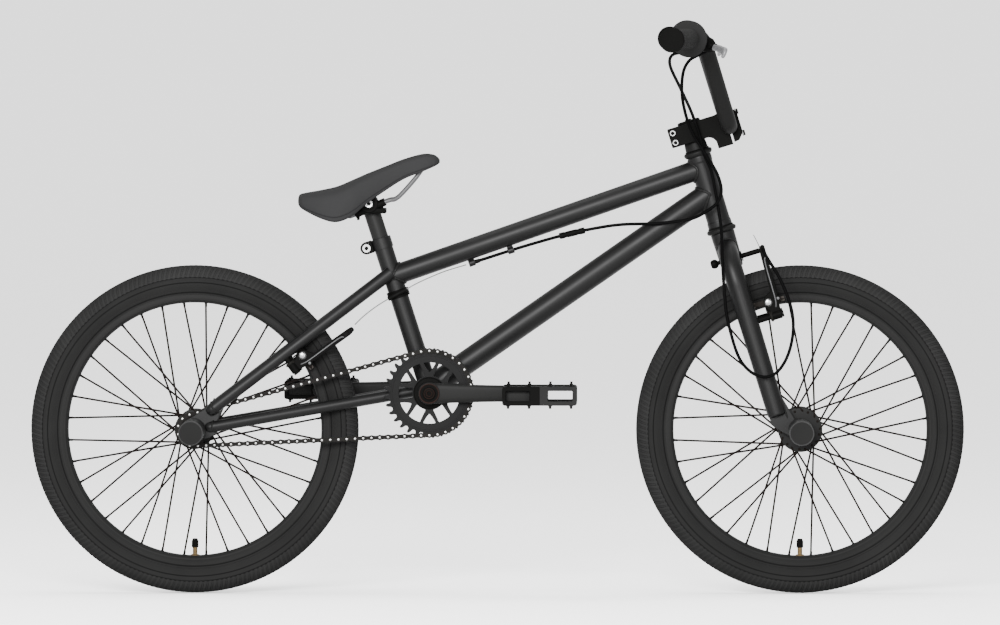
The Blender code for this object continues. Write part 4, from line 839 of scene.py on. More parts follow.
def make_fork():
    shapes = []
    painted = [
        tube(at_fork(0.285), at_fork(0.4985), 0.0143, sides=48),
        turned([
            (0.016, 0.268), (0.0172, 0.274), (0.0178, 0.29), (0.0184, 0.312), (0.0186, 0.32),
            (0.0186, 0.324),
            (0.0143, 0.324)], STEER_FOOT, STEER_UP, 64, 0.0006),
    ]
    beads = []
    for side in (-1, 1):
        path = [(0.2995, 0.0), (0.2965, 0.018), (0.287, 0.033), (0.271, 0.0445), (0.25, 0.05),
            (0.23, 0.0506)]
        points = [at_fork(up, -0.0015 * min(1, (0.31 - up) / 0.04), side * left) for up, left in path]
        points += [at_fork(up, -0.0015, side * (0.053 - 0.0024 * (up - 0.024) / 0.206)) for up in (0.15,
            0.08, 0.036)]
        route = smooth_route(points, 0.004)
        sizes = []
        for point in route:
            up = (point - STEER_FOOT).dot(STEER_UP)
            sizes.append(0.0155 - 0.0013 * min(1.0, max(0.0, (0.25 - up) / 0.22)))
        painted.append(swept(route, sizes, 48))
        foot = route[-1]
        run = (route[-1] - route[-2]).normalized()
        r = sizes[-1]
        painted.append(turned([(r, 0), (r, 0.0015), (r * 0.97, 0.0028), (r * 0.88, 0.0038),
            (r * 0.6, 0.0046), (0, 0.005)], foot, run, 48))
        round_end = circle((FORK_OFFSET, 0.0), 0.0165, 19, math.radians(-125), math.radians(225))
        outline = rounded([(-0.014, 0.02), *round_end, (0.012, 0.062), (-0.014, 0.05)], 0.003, 3, True)
        centre = STEER_FOOT + side * DROPOUT_LEFT * LEFT
        painted.append(plate([[tuple(p) for p in outline]], 0.0056, centre, STEER_FORWARD, STEER_UP,
            0.0006))
        for edge in (-1, 1):
            bead_path = [at_fork(0.024 + 0.006 * i, FORK_OFFSET * 0.47,
                side * (DROPOUT_LEFT + edge * DROPOUT_EDGE)) for i in range(6)]
            beads.append(swept(bead_path, [0.0008, 0.0016, 0.0014, 0.0017, 0.0014, 0.0008], 10))
        shapes += brake_boss(FRONT_AXLE, STEER_UP, STEER_FORWARD, -0.0275, side)
        place = aimed(at_fork(0.299, 0, side * 0.0175), LEFT * side + 0.25 * STEER_UP * -1)
        bead_path, sizes = [], []
        for i in range(72):
            a = math.tau * i / 72
            bead_path.append(place @ Vector((0.0158 * math.cos(a), 0.0158 * math.sin(a), 0.0)))
            sizes.append(0.0006 + 0.0002 * abs(math.sin(14 * a)))
        beads.append(closed_sweep(bead_path, sizes, 8))
    shapes += [(merged(painted), PAINT), (merged(beads), WELD)]
    piece("welded_fork", "steering", ["fork"], shapes)
    centre = at_fork(0.281)
    rod_shape = turned([(0, 0.0465), (0.0034, 0.0465), (0.004, 0.0455), (0.004, 0.019)], centre,
        STEER_FORWARD, 28, 0.0004)
    washer = turned([(0.0042, 0.0175), (0.0078, 0.0175), (0.0078, 0.019), (0.0042, 0.019)], centre,
        STEER_FORWARD, 28, 0.0003)
    shank = tube(centre - 0.0205 * STEER_FORWARD, centre + 0.018 * STEER_FORWARD, 0.0033, sides=20)
    knob = turned([
        (0.0033, -0.0195), (0.0048, -0.0205), (0.0066, -0.0225), (0.0072, -0.0255), (0.0066, -0.029),
        (0.0045, -0.0312),
        (0, -0.0318)], centre, STEER_FORWARD, 36)
    piece("crown_bolt_detail", "steering", ["crown_bolt"],
          [(merged([rod_shape, washer, shank, knob]), BLACK)])


def make_headset():
    low = turned([
        (0.015, 0.3327), (0.019, 0.3327), (0.0205, 0.3323), (0.022, 0.3312), (0.0229, 0.3298),
        (0.0231, 0.3285),
        (0.0229, 0.327), (0.022, 0.3255), (0.0205, 0.3246), (0.019, 0.3243), (0.015, 0.3243)], STEER_FOOT,
        STEER_UP, 64, 0.0003)
    high = turned([
        (0.015, 0.4473), (0.0195, 0.4473), (0.0206, 0.4485), (0.0216, 0.45), (0.0222, 0.452),
        (0.022, 0.454),
        (0.0206, 0.4552), (0.0186, 0.4562), (0.015, 0.4562)], STEER_FOOT, STEER_UP, 64, 0.0003)
    spacer = turned([
        (0.015, 0.4565), (0.0174, 0.4565), (0.0176, 0.458), (0.0172, 0.464), (0.0166, 0.469),
        (0.0162, 0.47),
        (0.015, 0.47)], STEER_FOOT, STEER_UP, 64, 0.0003)
    seals = [
        turned([(0.0196, 0.3345), (0.0199, 0.3335), (0.0196, 0.3326)], STEER_FOOT, STEER_UP, 64),
        turned([(0.0178, 0.4562), (0.019, 0.4566), (0.019, 0.4572), (0.0178, 0.4578)], STEER_FOOT, STEER_UP,
        64),
    ]
    piece("lower_cup_detail", "frame", ["lower_headset_cup"],
        [(low, BAR_PAINT), (seals[0], RUBBER)])
    piece("upper_cup_detail", "frame", ["upper_headset_cup"], [(high, BAR_PAINT)])
    piece("spacer_detail", "steering", ["headset_spacer"],
        [(spacer, BAR_PAINT), (seals[1], RUBBER)])


# Stem, bar, grips and levers

BAR_FORWARD = 0.0575
BAR_UP = 0.478
BAR_RADIUS = 0.0127
GRIP_START = Vector((0.2934, 0.229, 0.8535))
GRIP_END = Vector((0.2656, 0.355, 0.8523))
GRIP_OUT = (GRIP_END - GRIP_START).normalized()
GRIP_LENGTH = (GRIP_END - GRIP_START).length
STEM_HALF = 0.025


def make_stem():
    arch = circle((0.0195, 0.4575), 0.013, 13, math.radians(90), math.radians(-90))
    outline = [
        (-0.0345, 0.4703), (0.013, 0.4703), *arch, (0.0325, 0.4495), (0.056, 0.4495), (0.056, 0.501),
        (0.044, 0.501), (0.04, 0.5), (-0.0345, 0.5),
    ]
    body = plate([outline], 2 * STEM_HALF, STEER_FOOT, STEER_FORWARD, STEER_UP, 0.0009)
    shapes = [(body, BLACK)]
    for up in (0.4775, 0.4925):
        for side in (-1, 1):
            face = at_fork(up, -0.0285, side * STEM_HALF)
            ring = turned([(0.0028, -0.001), (0.0028, 0.0007), (0.0041, 0.0007), (0.0043, 0.0004),
                (0.0043, -0.001)],
                          face, side * LEFT, 28)
            shapes.append((ring, STEEL))
            shapes.append((socket_bolt(face - side * 0.0006 * LEFT, side * LEFT, 0.003, 0.0016, 0.0017),
                BLACK_SATIN))
    slot = block(at_fork(0.4849, -0.0349), (0.001, 0.0022, 0.0285), STEER_UP, STEER_FORWARD, 0.0001)
    shapes.append((slot, CHAIN_DARK))
    cap = turned([(0, 0.5045), (0.015, 0.5045), (0.0176, 0.503), (0.018, 0.5), (0, 0.5)],
                 STEER_FOOT, STEER_UP, 56, 0.0006)
    bolt = socket_bolt(at_fork(0.5046), STEER_UP, 0.005, 0.0016, 0.0026)
    piece("stem_body_detail", "steering", ["stem"], shapes)
    piece("top_cap_detail", "steering", ["stem_top_cap"],
        [(cap, BLACK), (bolt, BLACK_SATIN)])
    front = [(0.059, 0.452), (0.0665, 0.453), (0.0735, 0.461), (0.0752, 0.466), (0.0752, 0.493),
        (0.0735, 0.498),
             (0.0705, 0.501), (0.059, 0.501)]
    plate_shape = plate([front], 2 * STEM_HALF, STEER_FOOT, STEER_FORWARD, STEER_UP, 0.0009)
    shapes = [(plate_shape, BLACK)]
    for up in (0.4615, 0.496):
        for side in (-1, 1):
            at = at_fork(up, 0.0738 if up < 0.48 else 0.0728, side * 0.0175)
            washer = turned([(0, 0), (0.0046, 0), (0.0048, 0.0006), (0.0046, 0.0014), (0, 0.0014)], at,
                STEER_FORWARD, 28)
            shapes.append((washer, STEEL))
            shapes.append((socket_bolt(at + 0.001 * STEER_FORWARD, STEER_FORWARD, 0.0041, 0.0036, 0.0021),
                BLACK_SATIN))
    piece("faceplate_detail", "steering", ["stem_faceplate"], shapes)


def bar_side():
    path = [(0.0, BAR_UP, BAR_FORWARD), (0.034, BAR_UP, BAR_FORWARD), (0.048, 0.4815, BAR_FORWARD)]
    path += [(0.0575, 0.491, BAR_FORWARD), (0.068, 0.507, BAR_FORWARD), (0.095, 0.5487, BAR_FORWARD)]
    path += [(0.123, 0.592, BAR_FORWARD), (0.132, 0.6045, 0.057), (0.144, 0.615, 0.0557),
        (0.158, 0.62, 0.0535)]
    points = [at_fork(up, forward, left) for left, up, forward in path]
    for run in (-0.057, -0.028, 0.0, GRIP_LENGTH - 0.004):
        points.append(GRIP_START + run * GRIP_OUT)
    return points


def make_handlebar():
    left = bar_side()
    right = [mirrored(point) for point in left[:0:-1]]
    route = smooth_route(right + left, 0.004)
    sizes = []
    for point in route:
        out = abs(point.y)
        share = min(1.0, max(0.0, (out - 0.15) / 0.04))
        sizes.append(BAR_RADIUS + (0.0111 - BAR_RADIUS) * share * share * (3 - 2 * share))
    bar = swept(route, sizes, 44)
    cross_left, cross_right = at_fork(0.556, BAR_FORWARD, 0.0985), at_fork(0.556, BAR_FORWARD, -0.0985)
    cross = tube(cross_right, cross_left, 0.008, sides=36)
    lean = (at_fork(0.592, BAR_FORWARD, 0.123) - at_fork(0.507, BAR_FORWARD, 0.068)).normalized()
    beads = []
    for side in (-1, 1):
        axis = Vector((lean.x, side * lean.y, lean.z))
        foot = at_fork(0.507, BAR_FORWARD, side * 0.068)
        beads.append(weld_bead(at_fork(0.556, BAR_FORWARD, side * 0.06), side * LEFT, 0.008, foot, axis,
            BAR_RADIUS, 0.0013))
    piece("bar_detail", "steering", ["handlebar"],
          [(merged([bar, cross]), BAR_PAINT), (merged(beads), WELD)])


def make_grip(hand, side):
    start, out = GRIP_START.copy(), GRIP_OUT.copy()
    if side < 0:
        start, out = mirrored(start), mirrored(out)
    end = GRIP_LENGTH
    flange = [(0.0114, 0.0), (0.0272, 0.0), (0.0279, 0.0008), (0.028, 0.002), (0.0275, 0.0031),
        (0.025, 0.0042),
              (0.0195, 0.0062), (0.017, 0.0085), (0.016, 0.0115)]
    body = [(0.016, 0.0115)]
    at = 0.0125
    while at < end - 0.0165:
        body += [(0.0151, at), (0.0149, at + 0.0006), (0.016, at + 0.0012), (0.0161, at + 0.0024)]
        at += 0.003
    body += [(0.0158, end - 0.0125), (0.0158, end - 0.0085), (0.0162, end - 0.007)]
    plug = [(0.0162, end - 0.007), (0.0188, end - 0.0066), (0.019, end - 0.0058), (0.019, end - 0.0018),
            (0.0184, end - 0.0006), (0.0172, end), (0.0, end)]
    shapes = [
        (turned(flange, start, out, 72), FLANGE), (turned(body, start, out, 72), GRIP),
        (turned(plug, start, out, 72), RUBBER),
    ]
    piece(f"grip_{hand}_detail", "steering", [f"grip_{hand}"], shapes)


def lever_frame(side):
    """The clamp's centre on the bar, the outward bar direction, and the lever's forward direction."""
    down = math.radians(20)
    ahead = Vector((math.cos(down), 0, -math.sin(down)))
    centre = GRIP_START - 0.022 * GRIP_OUT
    out = GRIP_OUT.copy()
    if side < 0:
        centre, out = mirrored(centre), mirrored(out)
    return centre, out, (ahead - ahead.dot(out) * out).normalized()


def make_lever(hand, side):
    centre, out, forward = lever_frame(side)
    pivot = joint_point(f"{hand}_lever_pull")
    pin = forward.cross(out).normalized()
    clamp = turned([(0.0116, -0.0085), (0.0163, -0.0085), (0.0163, 0.0085), (0.0116, 0.0085)], centre, out,
        56, 0.001)
    lug = block(centre - 0.0165 * forward, (0.015, 0.0125, 0.008), pin, out, 0.0012)
    arm = swept(
        [centre + 0.01 * forward, centre + 0.02 * forward - 0.003 * out,
        centre + 0.03 * forward - 0.001 * out,
         centre + 0.035 * forward + 0.0015 * out],
        [0.012, 0.0124, 0.011, 0.0075], 24, [(math.cos(a) * 0.62, math.sin(a) * 1.0) for a in
                                         [math.tau * i / 24 for i in range(24)]], out)
    ears = []
    for way in (-1, 1):
        ears.append(turned([(0, 0.0), (0.0056, 0.0), (0.0056, 0.0016), (0, 0.0016)],
            pivot + way * 0.0044 * pin, way * pin, 32, 0.0005))
    screw = socket_bolt(pivot + 0.0058 * pin, pin, 0.0034, 0.0012, 0.0016)
    clamp_bolt = socket_bolt(centre - 0.0165 * forward + 0.006 * pin, pin, 0.0034, 0.003, 0.0018)
    nose_start = centre + 0.026 * forward - 0.008 * out
    nose_end = centre + 0.024 * forward - 0.03 * out
    nose = (nose_end - nose_start).normalized()
    barrel = [
        (0.0052, 0.0), (0.0056, 0.006), (0.0048, 0.0068), (0.0034, 0.0072), (0.0034, 0.01), (0.006, 0.0104),
        (0.006, 0.0122), (0.0036, 0.0126), (0.0036, 0.0136), (0.0052, 0.014), (0.0052, 0.02),
        (0.0042, 0.0214),
        (0.003, 0.0222), (0, 0.0222)]
    adjuster = turned(barrel, nose_start, nose, 32, 0.0002)
    knurls = []
    place = aimed(nose_start, nose)
    for i in range(18):
        a = math.tau * i / 18
        foot = place @ Vector((0.0052 * math.cos(a), 0.0052 * math.sin(a), 0.0146))
        knurls.append(swept([foot, foot + 0.005 * nose], 0.00045, 6))
    black = merged([clamp, lug, arm, *ears])
    piece(f"brake_perch_{hand}_detail", "steering", [f"brake_perch_{hand}"],
          [(black, BLACK), (merged([screw, clamp_bolt]), BLACK_SATIN),
          (merged([adjuster, *knurls]), BLACK_SATIN)])
    heel = pivot + 0.0035 * out
    lift = pin if pin.z > 0 else -pin
    path = smooth_route([
        pivot - 0.006 * out + 0.001 * forward, pivot, heel + 0.01 * out + 0.0055 * forward + 0.001 * lift,
        heel + 0.026 * out + 0.015 * forward + 0.003 * lift,
        heel + 0.055 * out + 0.029 * forward + 0.005 * lift,
        heel + 0.078 * out + 0.0355 * forward + 0.005 * lift,
        heel + 0.0905 * out + 0.0385 * forward + 0.005 * lift], 0.002)
    sizes = []
    count = len(path)
    for i in range(count):
        t = i / (count - 1)
        size = 0.0044 + 0.0044 * t * t
        if t > 0.94:
            size *= math.sqrt(max(0.05, 1 - ((t - 0.94) / 0.06) ** 2))
        if t < 0.08:
            size *= 0.75 + 0.25 * t / 0.08
        sizes.append(size)
    section = []
    for i in range(28):
        a = math.tau * i / 28
        x, y = math.cos(a), math.sin(a)
        section.append((math.copysign(abs(x) ** 0.75, x) * 0.42, math.copysign(abs(y) ** 0.75, y) * 1.0))
    blade = swept(path, sizes, section=section, side=forward)
    # A black sleeve over the blade's heel, a little wider than the blade, is painted shade for the darker
    # end of the light blade.
    heel_shade_sleeve = swept(path[:9], [size + 0.0012 for size in sizes[:9]], section=section, side=forward)
    piece(f"brake_lever_{hand}_detail", f"{hand}_lever", [f"brake_lever_{hand}"],
          [(blade, LEVER_ALLOY), (heel_shade_sleeve, BLACK)])


# Drive

CHAIN_PITCH = 0.0127
RING_TEETH = 32
COG_TEETH = 12
CHAIN_LINKS = 80
CHAIN_LINE = -0.046


def pitch_radius(teeth):
    return CHAIN_PITCH / (2 * math.sin(math.pi / teeth))


def chain_pins():
    """Where each pin of the chain sits, walking forward over the ring and back under it, and the
    cog's turn.
    """
    ring, cog = pitch_radius(RING_TEETH), pitch_radius(COG_TEETH)
    apart = CRANK_AXIS - REAR_AXLE
    distance, heading = apart.length, math.atan2(apart.z, apart.x)
    lean = math.asin((ring - cog) / distance)
    top, low = heading + math.pi / 2 + lean, heading - math.pi / 2 - lean
    ring_step, cog_step = math.tau / RING_TEETH, math.tau / COG_TEETH
    ring_run = (math.pi + 2 * lean) / ring_step
    cog_run = (math.pi - 2 * lean) / cog_step
    straight = distance * math.cos(lean) / CHAIN_PITCH
    first = (top - math.pi / 2) % ring_step / ring_step

    def on(centre, radius, angle):
        return centre + Vector((radius * math.cos(angle), 0, radius * math.sin(angle)))

    pins, cog_angle = [], None
    for i in range(CHAIN_LINKS):
        s = first + i * (ring_run + cog_run + 2 * straight) / CHAIN_LINKS
        if s < ring_run:
            pins.append(on(CRANK_AXIS, ring, top - s * ring_step))
        elif s < ring_run + straight:
            t = (s - ring_run) / straight
            pins.append(on(CRANK_AXIS, ring, low).lerp(on(REAR_AXLE, cog, low), t))
        elif s < ring_run + straight + cog_run:
            angle = low - (s - ring_run - straight) * cog_step
            cog_angle = angle if cog_angle is None else cog_angle
            pins.append(on(REAR_AXLE, cog, angle))
        else:
            t = (s - ring_run - straight - cog_run) / straight
            pins.append(on(REAR_AXLE, cog, top).lerp(on(CRANK_AXIS, ring, top), min(1.0, t)))
    return pins, cog_angle


def link_plate(a, b, middle, thickness, end_radius, waist):
    """A figure-of-eight side plate between two pins."""
    length = (b - a).length
    outline = []
    for i in range(13):
        t = math.radians(55 + 250 * i / 12)
        outline.append((end_radius * math.cos(t), end_radius * math.sin(t)))
    outline.append((length / 2, -waist))
    for i in range(13):
        t = math.radians(-125 + 250 * i / 12)
        outline.append((length + end_radius * math.cos(t), end_radius * math.sin(t)))
    outline.append((length / 2, waist))
    along = (b - a).normalized()
    y_axis = LEFT
    z_axis = along.cross(y_axis).normalized()
    low, high = [], []
    for x, z in outline:
        low.append(a + x * along + z * z_axis + (middle - thickness / 2) * LEFT)
        high.append(a + x * along + z * z_axis + (middle + thickness / 2) * LEFT)
    return loft([low, high])


def make_chain():
    pins, cog_angle = chain_pins()
    base = CHAIN_LINE * LEFT
    dark, bright, rollers = [], [], []
    for i, a in enumerate(pins):
        b = pins[(i + 1) % len(pins)]
        offset, thick, radius, waist = (0.0031, 0.0009, 0.0041, 0.0027) if i % 2 else (0.0021, 0.0009,
            0.0042, 0.0029)
        for side in (-1, 1):
            dark.append(link_plate(a + base, b + base, side * offset, thick, radius, waist))
        rollers.append(tube(a + base - 0.0016 * LEFT, a + base + 0.0016 * LEFT, 0.0038, sides=20))
        pin = turned([(0, -0.0042), (0.0012, -0.0042), (0.0017, -0.0039), (0.0017, 0.0039),
            (0.0012, 0.0042), (0, 0.0042)],
                     a + base, LEFT, 16)
        bright.append(pin)
    piece("roller_chain", "frame", ["chain"],
          [(merged(dark), CHAIN_DARK), (merged(rollers), CHAIN_DARK), (merged(bright), CHAIN_BRIGHT)], 40.0)
    return cog_angle


def tooth_outline(teeth, hook, tip, start):
    """A sprocket's outline, running clockwise; roller seats lie at start and each tooth on."""
    radius = pitch_radius(teeth)
    step = math.tau / teeth
    points = []
    for tooth in range(teeth):
        middle = start - tooth * step
        for i in range(9):
            t = math.radians(-80 + 160 * i / 8)
            dx, dz = 0.0035 * math.sin(t), -0.0035 * math.cos(t)
            points.append((middle - dx / radius, radius + dz))
        crown = middle - step / 2
        for share, height in ((0.205, 0.4), (0.15, 0.8), (0.085, 1.0), (-0.05, 1.0), (-0.11, 0.8),
            (-0.185, 0.4)):
            points.append((crown + share * step - hook * height, radius + height * tip))
    return [(r * math.cos(a), r * math.sin(a)) for a, r in points]


def arc(radius, first, last, count):
    return [(radius * math.cos(first + (last - first) * i / (count - 1)),
             radius * math.sin(first + (last - first) * i / (count - 1))) for i in range(count)]


def ring_windows():
    """Openings inside and between six V-shaped pairs of curved arms."""
    windows = []
    for index in range(6):
        apex = math.radians(30 + 60 * index)
        side_in = [(0.0318, 0.0), (0.0365, 0.105), (0.0415, 0.165)]
        inside = [(r * math.cos(apex - a), r * math.sin(apex - a)) for r, a in side_in]
        inside += arc(0.047, apex - 0.203, apex + 0.203, 9)
        inside += [(r * math.cos(apex + a), r * math.sin(apex + a)) for r, a in reversed(side_in[1:])]
        windows.append([tuple(p) for p in rounded(inside, 0.0012, 2, True)])
        gap = apex + math.radians(30)
        edge = [(0.0262, 0.3), (0.031, 0.262), (0.036, 0.236), (0.0415, 0.214)]
        between = arc(0.0262, gap - 0.3, gap + 0.3, 5)
        between += [(r * math.cos(gap + a), r * math.sin(gap + a)) for r, a in edge[1:]]
        between += arc(0.047, gap + 0.205, gap - 0.205, 9)
        between += [(r * math.cos(gap - a), r * math.sin(gap - a)) for r, a in reversed(edge[1:])]
        windows.append([tuple(p) for p in rounded(between, 0.0014, 2, True)])
    return windows


def make_chainring():
    centre = CRANK_AXIS + CHAIN_LINE * LEFT
    teeth = tooth_outline(RING_TEETH, 0.022, 0.0046, math.pi / 2)
    ring = plate([teeth, *ring_windows()], 0.0029, centre, AHEAD, UP, 0.0004)
    boss = turned([(0.0103, 0.0018), (0.024, 0.0018), (0.0246, 0.001), (0.0246, -0.0045), (0.0225, -0.006),
        (0.0103, -0.006)],
                  centre, LEFT, 64, 0.0005)
    outer = turned([(0.0565, -0.0013), (0.0569, -0.0017), (0.059, -0.0017), (0.0594, -0.0013)], centre,
        LEFT, 120)
    turn = math.radians(-28)
    at = centre + Vector((0.019 * math.cos(turn), -0.006, 0.019 * math.sin(turn)))
    screw = socket_bolt(at, -LEFT, 0.0042, 0.0012, 0.0021)
    piece("chainring_detail", "crankset", ["chainring"],
          [(merged([ring, outer]), RING_BLACK), (boss, BLACK), (screw, BLACK_SATIN)])


def make_cog(cog_angle):
    centre = REAR_AXLE + CHAIN_LINE * LEFT
    teeth = tooth_outline(COG_TEETH, 0.02, 0.0038, cog_angle)
    cog = plate([teeth, circle((0, 0), 0.0172, 48)], 0.0029, centre, AHEAD, UP, 0.0004)
    body = turned([
        (0.0172, 0.0135), (0.019, 0.0135), (0.0192, 0.0125), (0.0192, -0.003), (0.0186, -0.0044),
        (0.0172, -0.005)],
        centre, LEFT, 56, 0.0004)
    marks = []
    for i in range(4):
        a = math.radians(45 + 90 * i)
        at = centre + Vector((0.0181 * math.cos(a), -0.0048, 0.0181 * math.sin(a)))
        marks.append(tube(at, at - 0.0005 * LEFT, 0.0007, sides=12))
    piece("cog_detail", "driven_cog", ["rear_cog"],
        [(cog, CHAIN_DARK), (merged([body, *marks]), CHAIN_DARK)])


def make_crank(hand, side):
    reach = -side * CRANK_LENGTH
    rings = []
    count = 40
    for i in range(count + 1):
        t = i / count
        run = -0.016 + (CRANK_LENGTH + 0.0285) * t
        if run < 0:
            half = math.sqrt(max(0.0, 1 - (run / 0.016) ** 2)) * 0.016
        elif run > CRANK_LENGTH:
            half = math.sqrt(max(0.0, 1 - ((run - CRANK_LENGTH) / 0.0125) ** 2)) * 0.0125
        else:
            share = run / CRANK_LENGTH
            half = 0.016 + (0.0125 - 0.016) * share - 0.0012 * math.sin(math.pi * share)
        half = max(half, 0.0006)
        out = 0.062 + 0.0085 * min(1.0, max(0.0, run / CRANK_LENGTH))
        thick = 0.0065 - 0.0008 * min(1.0, max(0.0, run / CRANK_LENGTH))
        ring = []
        for x, y in superellipse(36, 3.6):
            ring.append(CRANK_AXIS + Vector((reach / CRANK_LENGTH * run, side * (out + thick * x),
                half * y)))
        rings.append(ring)
    arm = loft(rings)
    boss = turned([
        (0.0103, 0.052), (0.0158, 0.052), (0.0168, 0.053), (0.0168, 0.0688), (0.016, 0.07), (0.014, 0.0702),
        (0.0, 0.0702),
    ], CRANK_AXIS, side * LEFT, 56, 0.0005)
    end = CRANK_AXIS + Vector((reach, 0, 0))
    eye = turned([(0.0074, 0.064), (0.0122, 0.064), (0.0122, 0.0768), (0.0074, 0.0768)], end, side * LEFT,
        48, 0.0006)
    out = side * LEFT
    disc = turned([(0.0, 0.0706), (0.015, 0.0706), (0.0152, 0.07)], CRANK_AXIS, out, 64)
    bolt = turned([
        (0.01, 0.0704), (0.01, 0.0722), (0.0092, 0.073), (0.008, 0.0733), (0.0046, 0.0733), (0.004, 0.0715),
        (0.0, 0.0715),
    ], CRANK_AXIS, out, 64)
    rings = []
    for low, high, top in ((0.0138, 0.0152, 0.0716), (0.0074, 0.0082, 0.074), (0.0038, 0.0047, 0.0741)):
        rings.append(turned([
            (low, 0.0704), (low, top - 0.0003), (low + 0.0003, top), (high - 0.0003, top),
            (high, top - 0.0003), (high, 0.0704),
        ], CRANK_AXIS, out, 64))
    pinch = socket_bolt(CRANK_AXIS + Vector((reach / CRANK_LENGTH * -0.002, side * 0.0575, -0.016)), -UP,
        0.0036, 0.0024, 0.0019)
    piece(f"crank_arm_{hand}_detail", "crankset", [f"crank_arm_{hand}"],
          [(merged([arm, boss, eye]), BAR_PAINT), (merged([disc, bolt]), BLACK), (merged(rings), GREASE),
          (pinch, BLACK_SATIN)])


def superellipse(count, power):
    made = []
    for i in range(count):
        a = math.tau * i / count
        x, y = math.cos(a), math.sin(a)
        made.append((math.copysign(abs(x) ** (2 / power), x), math.copysign(abs(y) ** (2 / power), y)))
    return made


def make_bottom_bracket():
    spindle = turned([(0, -0.0648), (0.0095, -0.0648), (0.0095, 0.0648), (0, 0.0648)], CRANK_AXIS, LEFT, 48,
        0.0006)
    splines = []
    for side in (-1, 1):
        for i in range(24):
            a = math.tau * i / 24
            foot = CRANK_AXIS + Vector((0.0094 * math.cos(a), side * 0.048, 0.0094 * math.sin(a)))
            splines.append(swept([foot, foot + side * 0.0035 * LEFT], 0.0004, 6))
    piece("spindle_detail", "crankset", ["crank_spindle"],
        [(merged([spindle, *splines]), CHAIN_DARK)])
    for hand, side in (("right", -1), ("left", 1)):
        cup = turned([
            (0.0103, 0.0372), (0.015, 0.0375), (0.02, 0.0375), (0.02, 0.0343), (0.0171, 0.0343),
            (0.0171, 0.015),
            (0.0103, 0.015)], CRANK_AXIS, side * LEFT, 56, 0.0006)
        seal = turned([(0.0104, 0.0374), (0.0136, 0.0374), (0.014, 0.0381), (0.0128, 0.0386),
            (0.0104, 0.0382)],
                      CRANK_AXIS, side * LEFT, 48)
        piece(f"bottom_bracket_cup_{hand}_detail", "frame", [f"bottom_bracket_cup_{hand}"],
              [(cup, BLACK_SATIN), (seal, RUBBER)])


def make_pedal(hand, side):
    end = joint_point(f"{hand}_pedal_spin")
    middle = end + side * 0.13 * LEFT
    axle = turned([
        (0, 0.0655), (0.0068, 0.0655), (0.0068, 0.0775), (0.006, 0.078), (0.006, 0.079), (0.005, 0.0795),
        (0.005, 0.173),
        (0, 0.173)], end, side * LEFT, 36, 0.0004)
    key = socket_bolt(end + side * 0.0648 * LEFT, -side * LEFT, 0.006, 0.001, 0.003)
    piece(f"pedal_axle_{hand}_detail", "crankset", [f"pedal_axle_{hand}"],
        [(merged([axle, key]), CHAIN_DARK)])
    half_x, half_z = 0.057, 0.0145
    cage = []
    for way in (-1, 1):
        for first, last, window in ((-half_x, 0.0, (-0.0515, -0.015)), (0.0, half_x, (0.0125, 0.05))):
            corners = [(first, -half_z), (last, -half_z), (last, half_z), (first, half_z)]
            outline = [tuple(p) for p in rounded(corners, 0.005, 5, True)]
            if first < 0:
                outline = [p if p[0] < -0.004 else (0.0, math.copysign(half_z, p[1])) for p in outline]
            else:
                outline = [p if p[0] > 0.004 else (0.0, math.copysign(half_z, p[1])) for p in outline]
            outline = list(dict.fromkeys(outline))
            hole = [(window[0], -0.008), (window[1], -0.008), (window[1], 0.008), (window[0], 0.008)]
            hole = [tuple(p) for p in rounded(hole, 0.0018, 3, True)]
            shape = plate([outline, hole], 0.0115, middle + way * 0.04425 * LEFT, AHEAD, UP, 0.0007)
            # The cage's rear half is black as painted shade and its front half grey as painted light:
            # shaded and lit tones of one cage.
            cage.append((shape, BLACK if first < 0 else PEDAL_GREY_PAINTED_LIGHT))
    bars = []
    for x in (-0.0535, 0.0535):
        for z in (-0.0108, 0.0108):
            bars.append(block(middle + Vector((x, 0, z)), (0.005, 0.08, 0.005), UP, AHEAD, 0.0018))
    panels = []
    for way in (-1, 1):
        panels.append(block(middle + Vector((-0.0335, way * 0.036, 0)), (0.0365, 0.003, 0.017), UP, AHEAD,
            0.0008))
    body = turned([
        (0.0058, -0.048), (0.011, -0.048), (0.0125, -0.04), (0.0128, -0.02), (0.0112, 0.0), (0.0128, 0.02),
        (0.0125, 0.04), (0.011, 0.048), (0.0058, 0.048)], middle, side * LEFT, 48, 0.001)
    hub_block = block(middle, (0.025, 0.08, 0.027), UP, AHEAD, 0.0022)
    fins = []
    for y in (-0.026, 0.0, 0.026):
        for z in (-0.0125, 0.0125):
            fins.append(block(middle + Vector((0, y, z * 0.9)), (0.108, 0.005, 0.0055), UP, AHEAD, 0.001))
    pins, nuts = [], []
    for along in (-0.048, -0.016, 0.016, 0.048):
        for across in (-0.0435, 0.0435):
            for way in (-1, 1):
                foot = middle + Vector((along, across, way * 0.01))
                pins.append(tube(foot, foot + way * 0.0093 * UP, 0.0019, sides=16, soft=0.0004))
                nuts.append(hex_nut(middle + Vector((along, across, way * 0.0143)), way * UP, 0.0033,
                    0.0014))
    shapes = [*cage, (merged([*bars, *fins, hub_block, body]), PLASTIC), (merged(panels), PEDAL_GREY_PAINTED_LIGHT),
              (merged([*pins, *nuts]), BLACK_SATIN)]
    piece(f"pedal_{hand}_detail", f"{hand}_pedal", [f"pedal_{hand}"], shapes)


# Seat

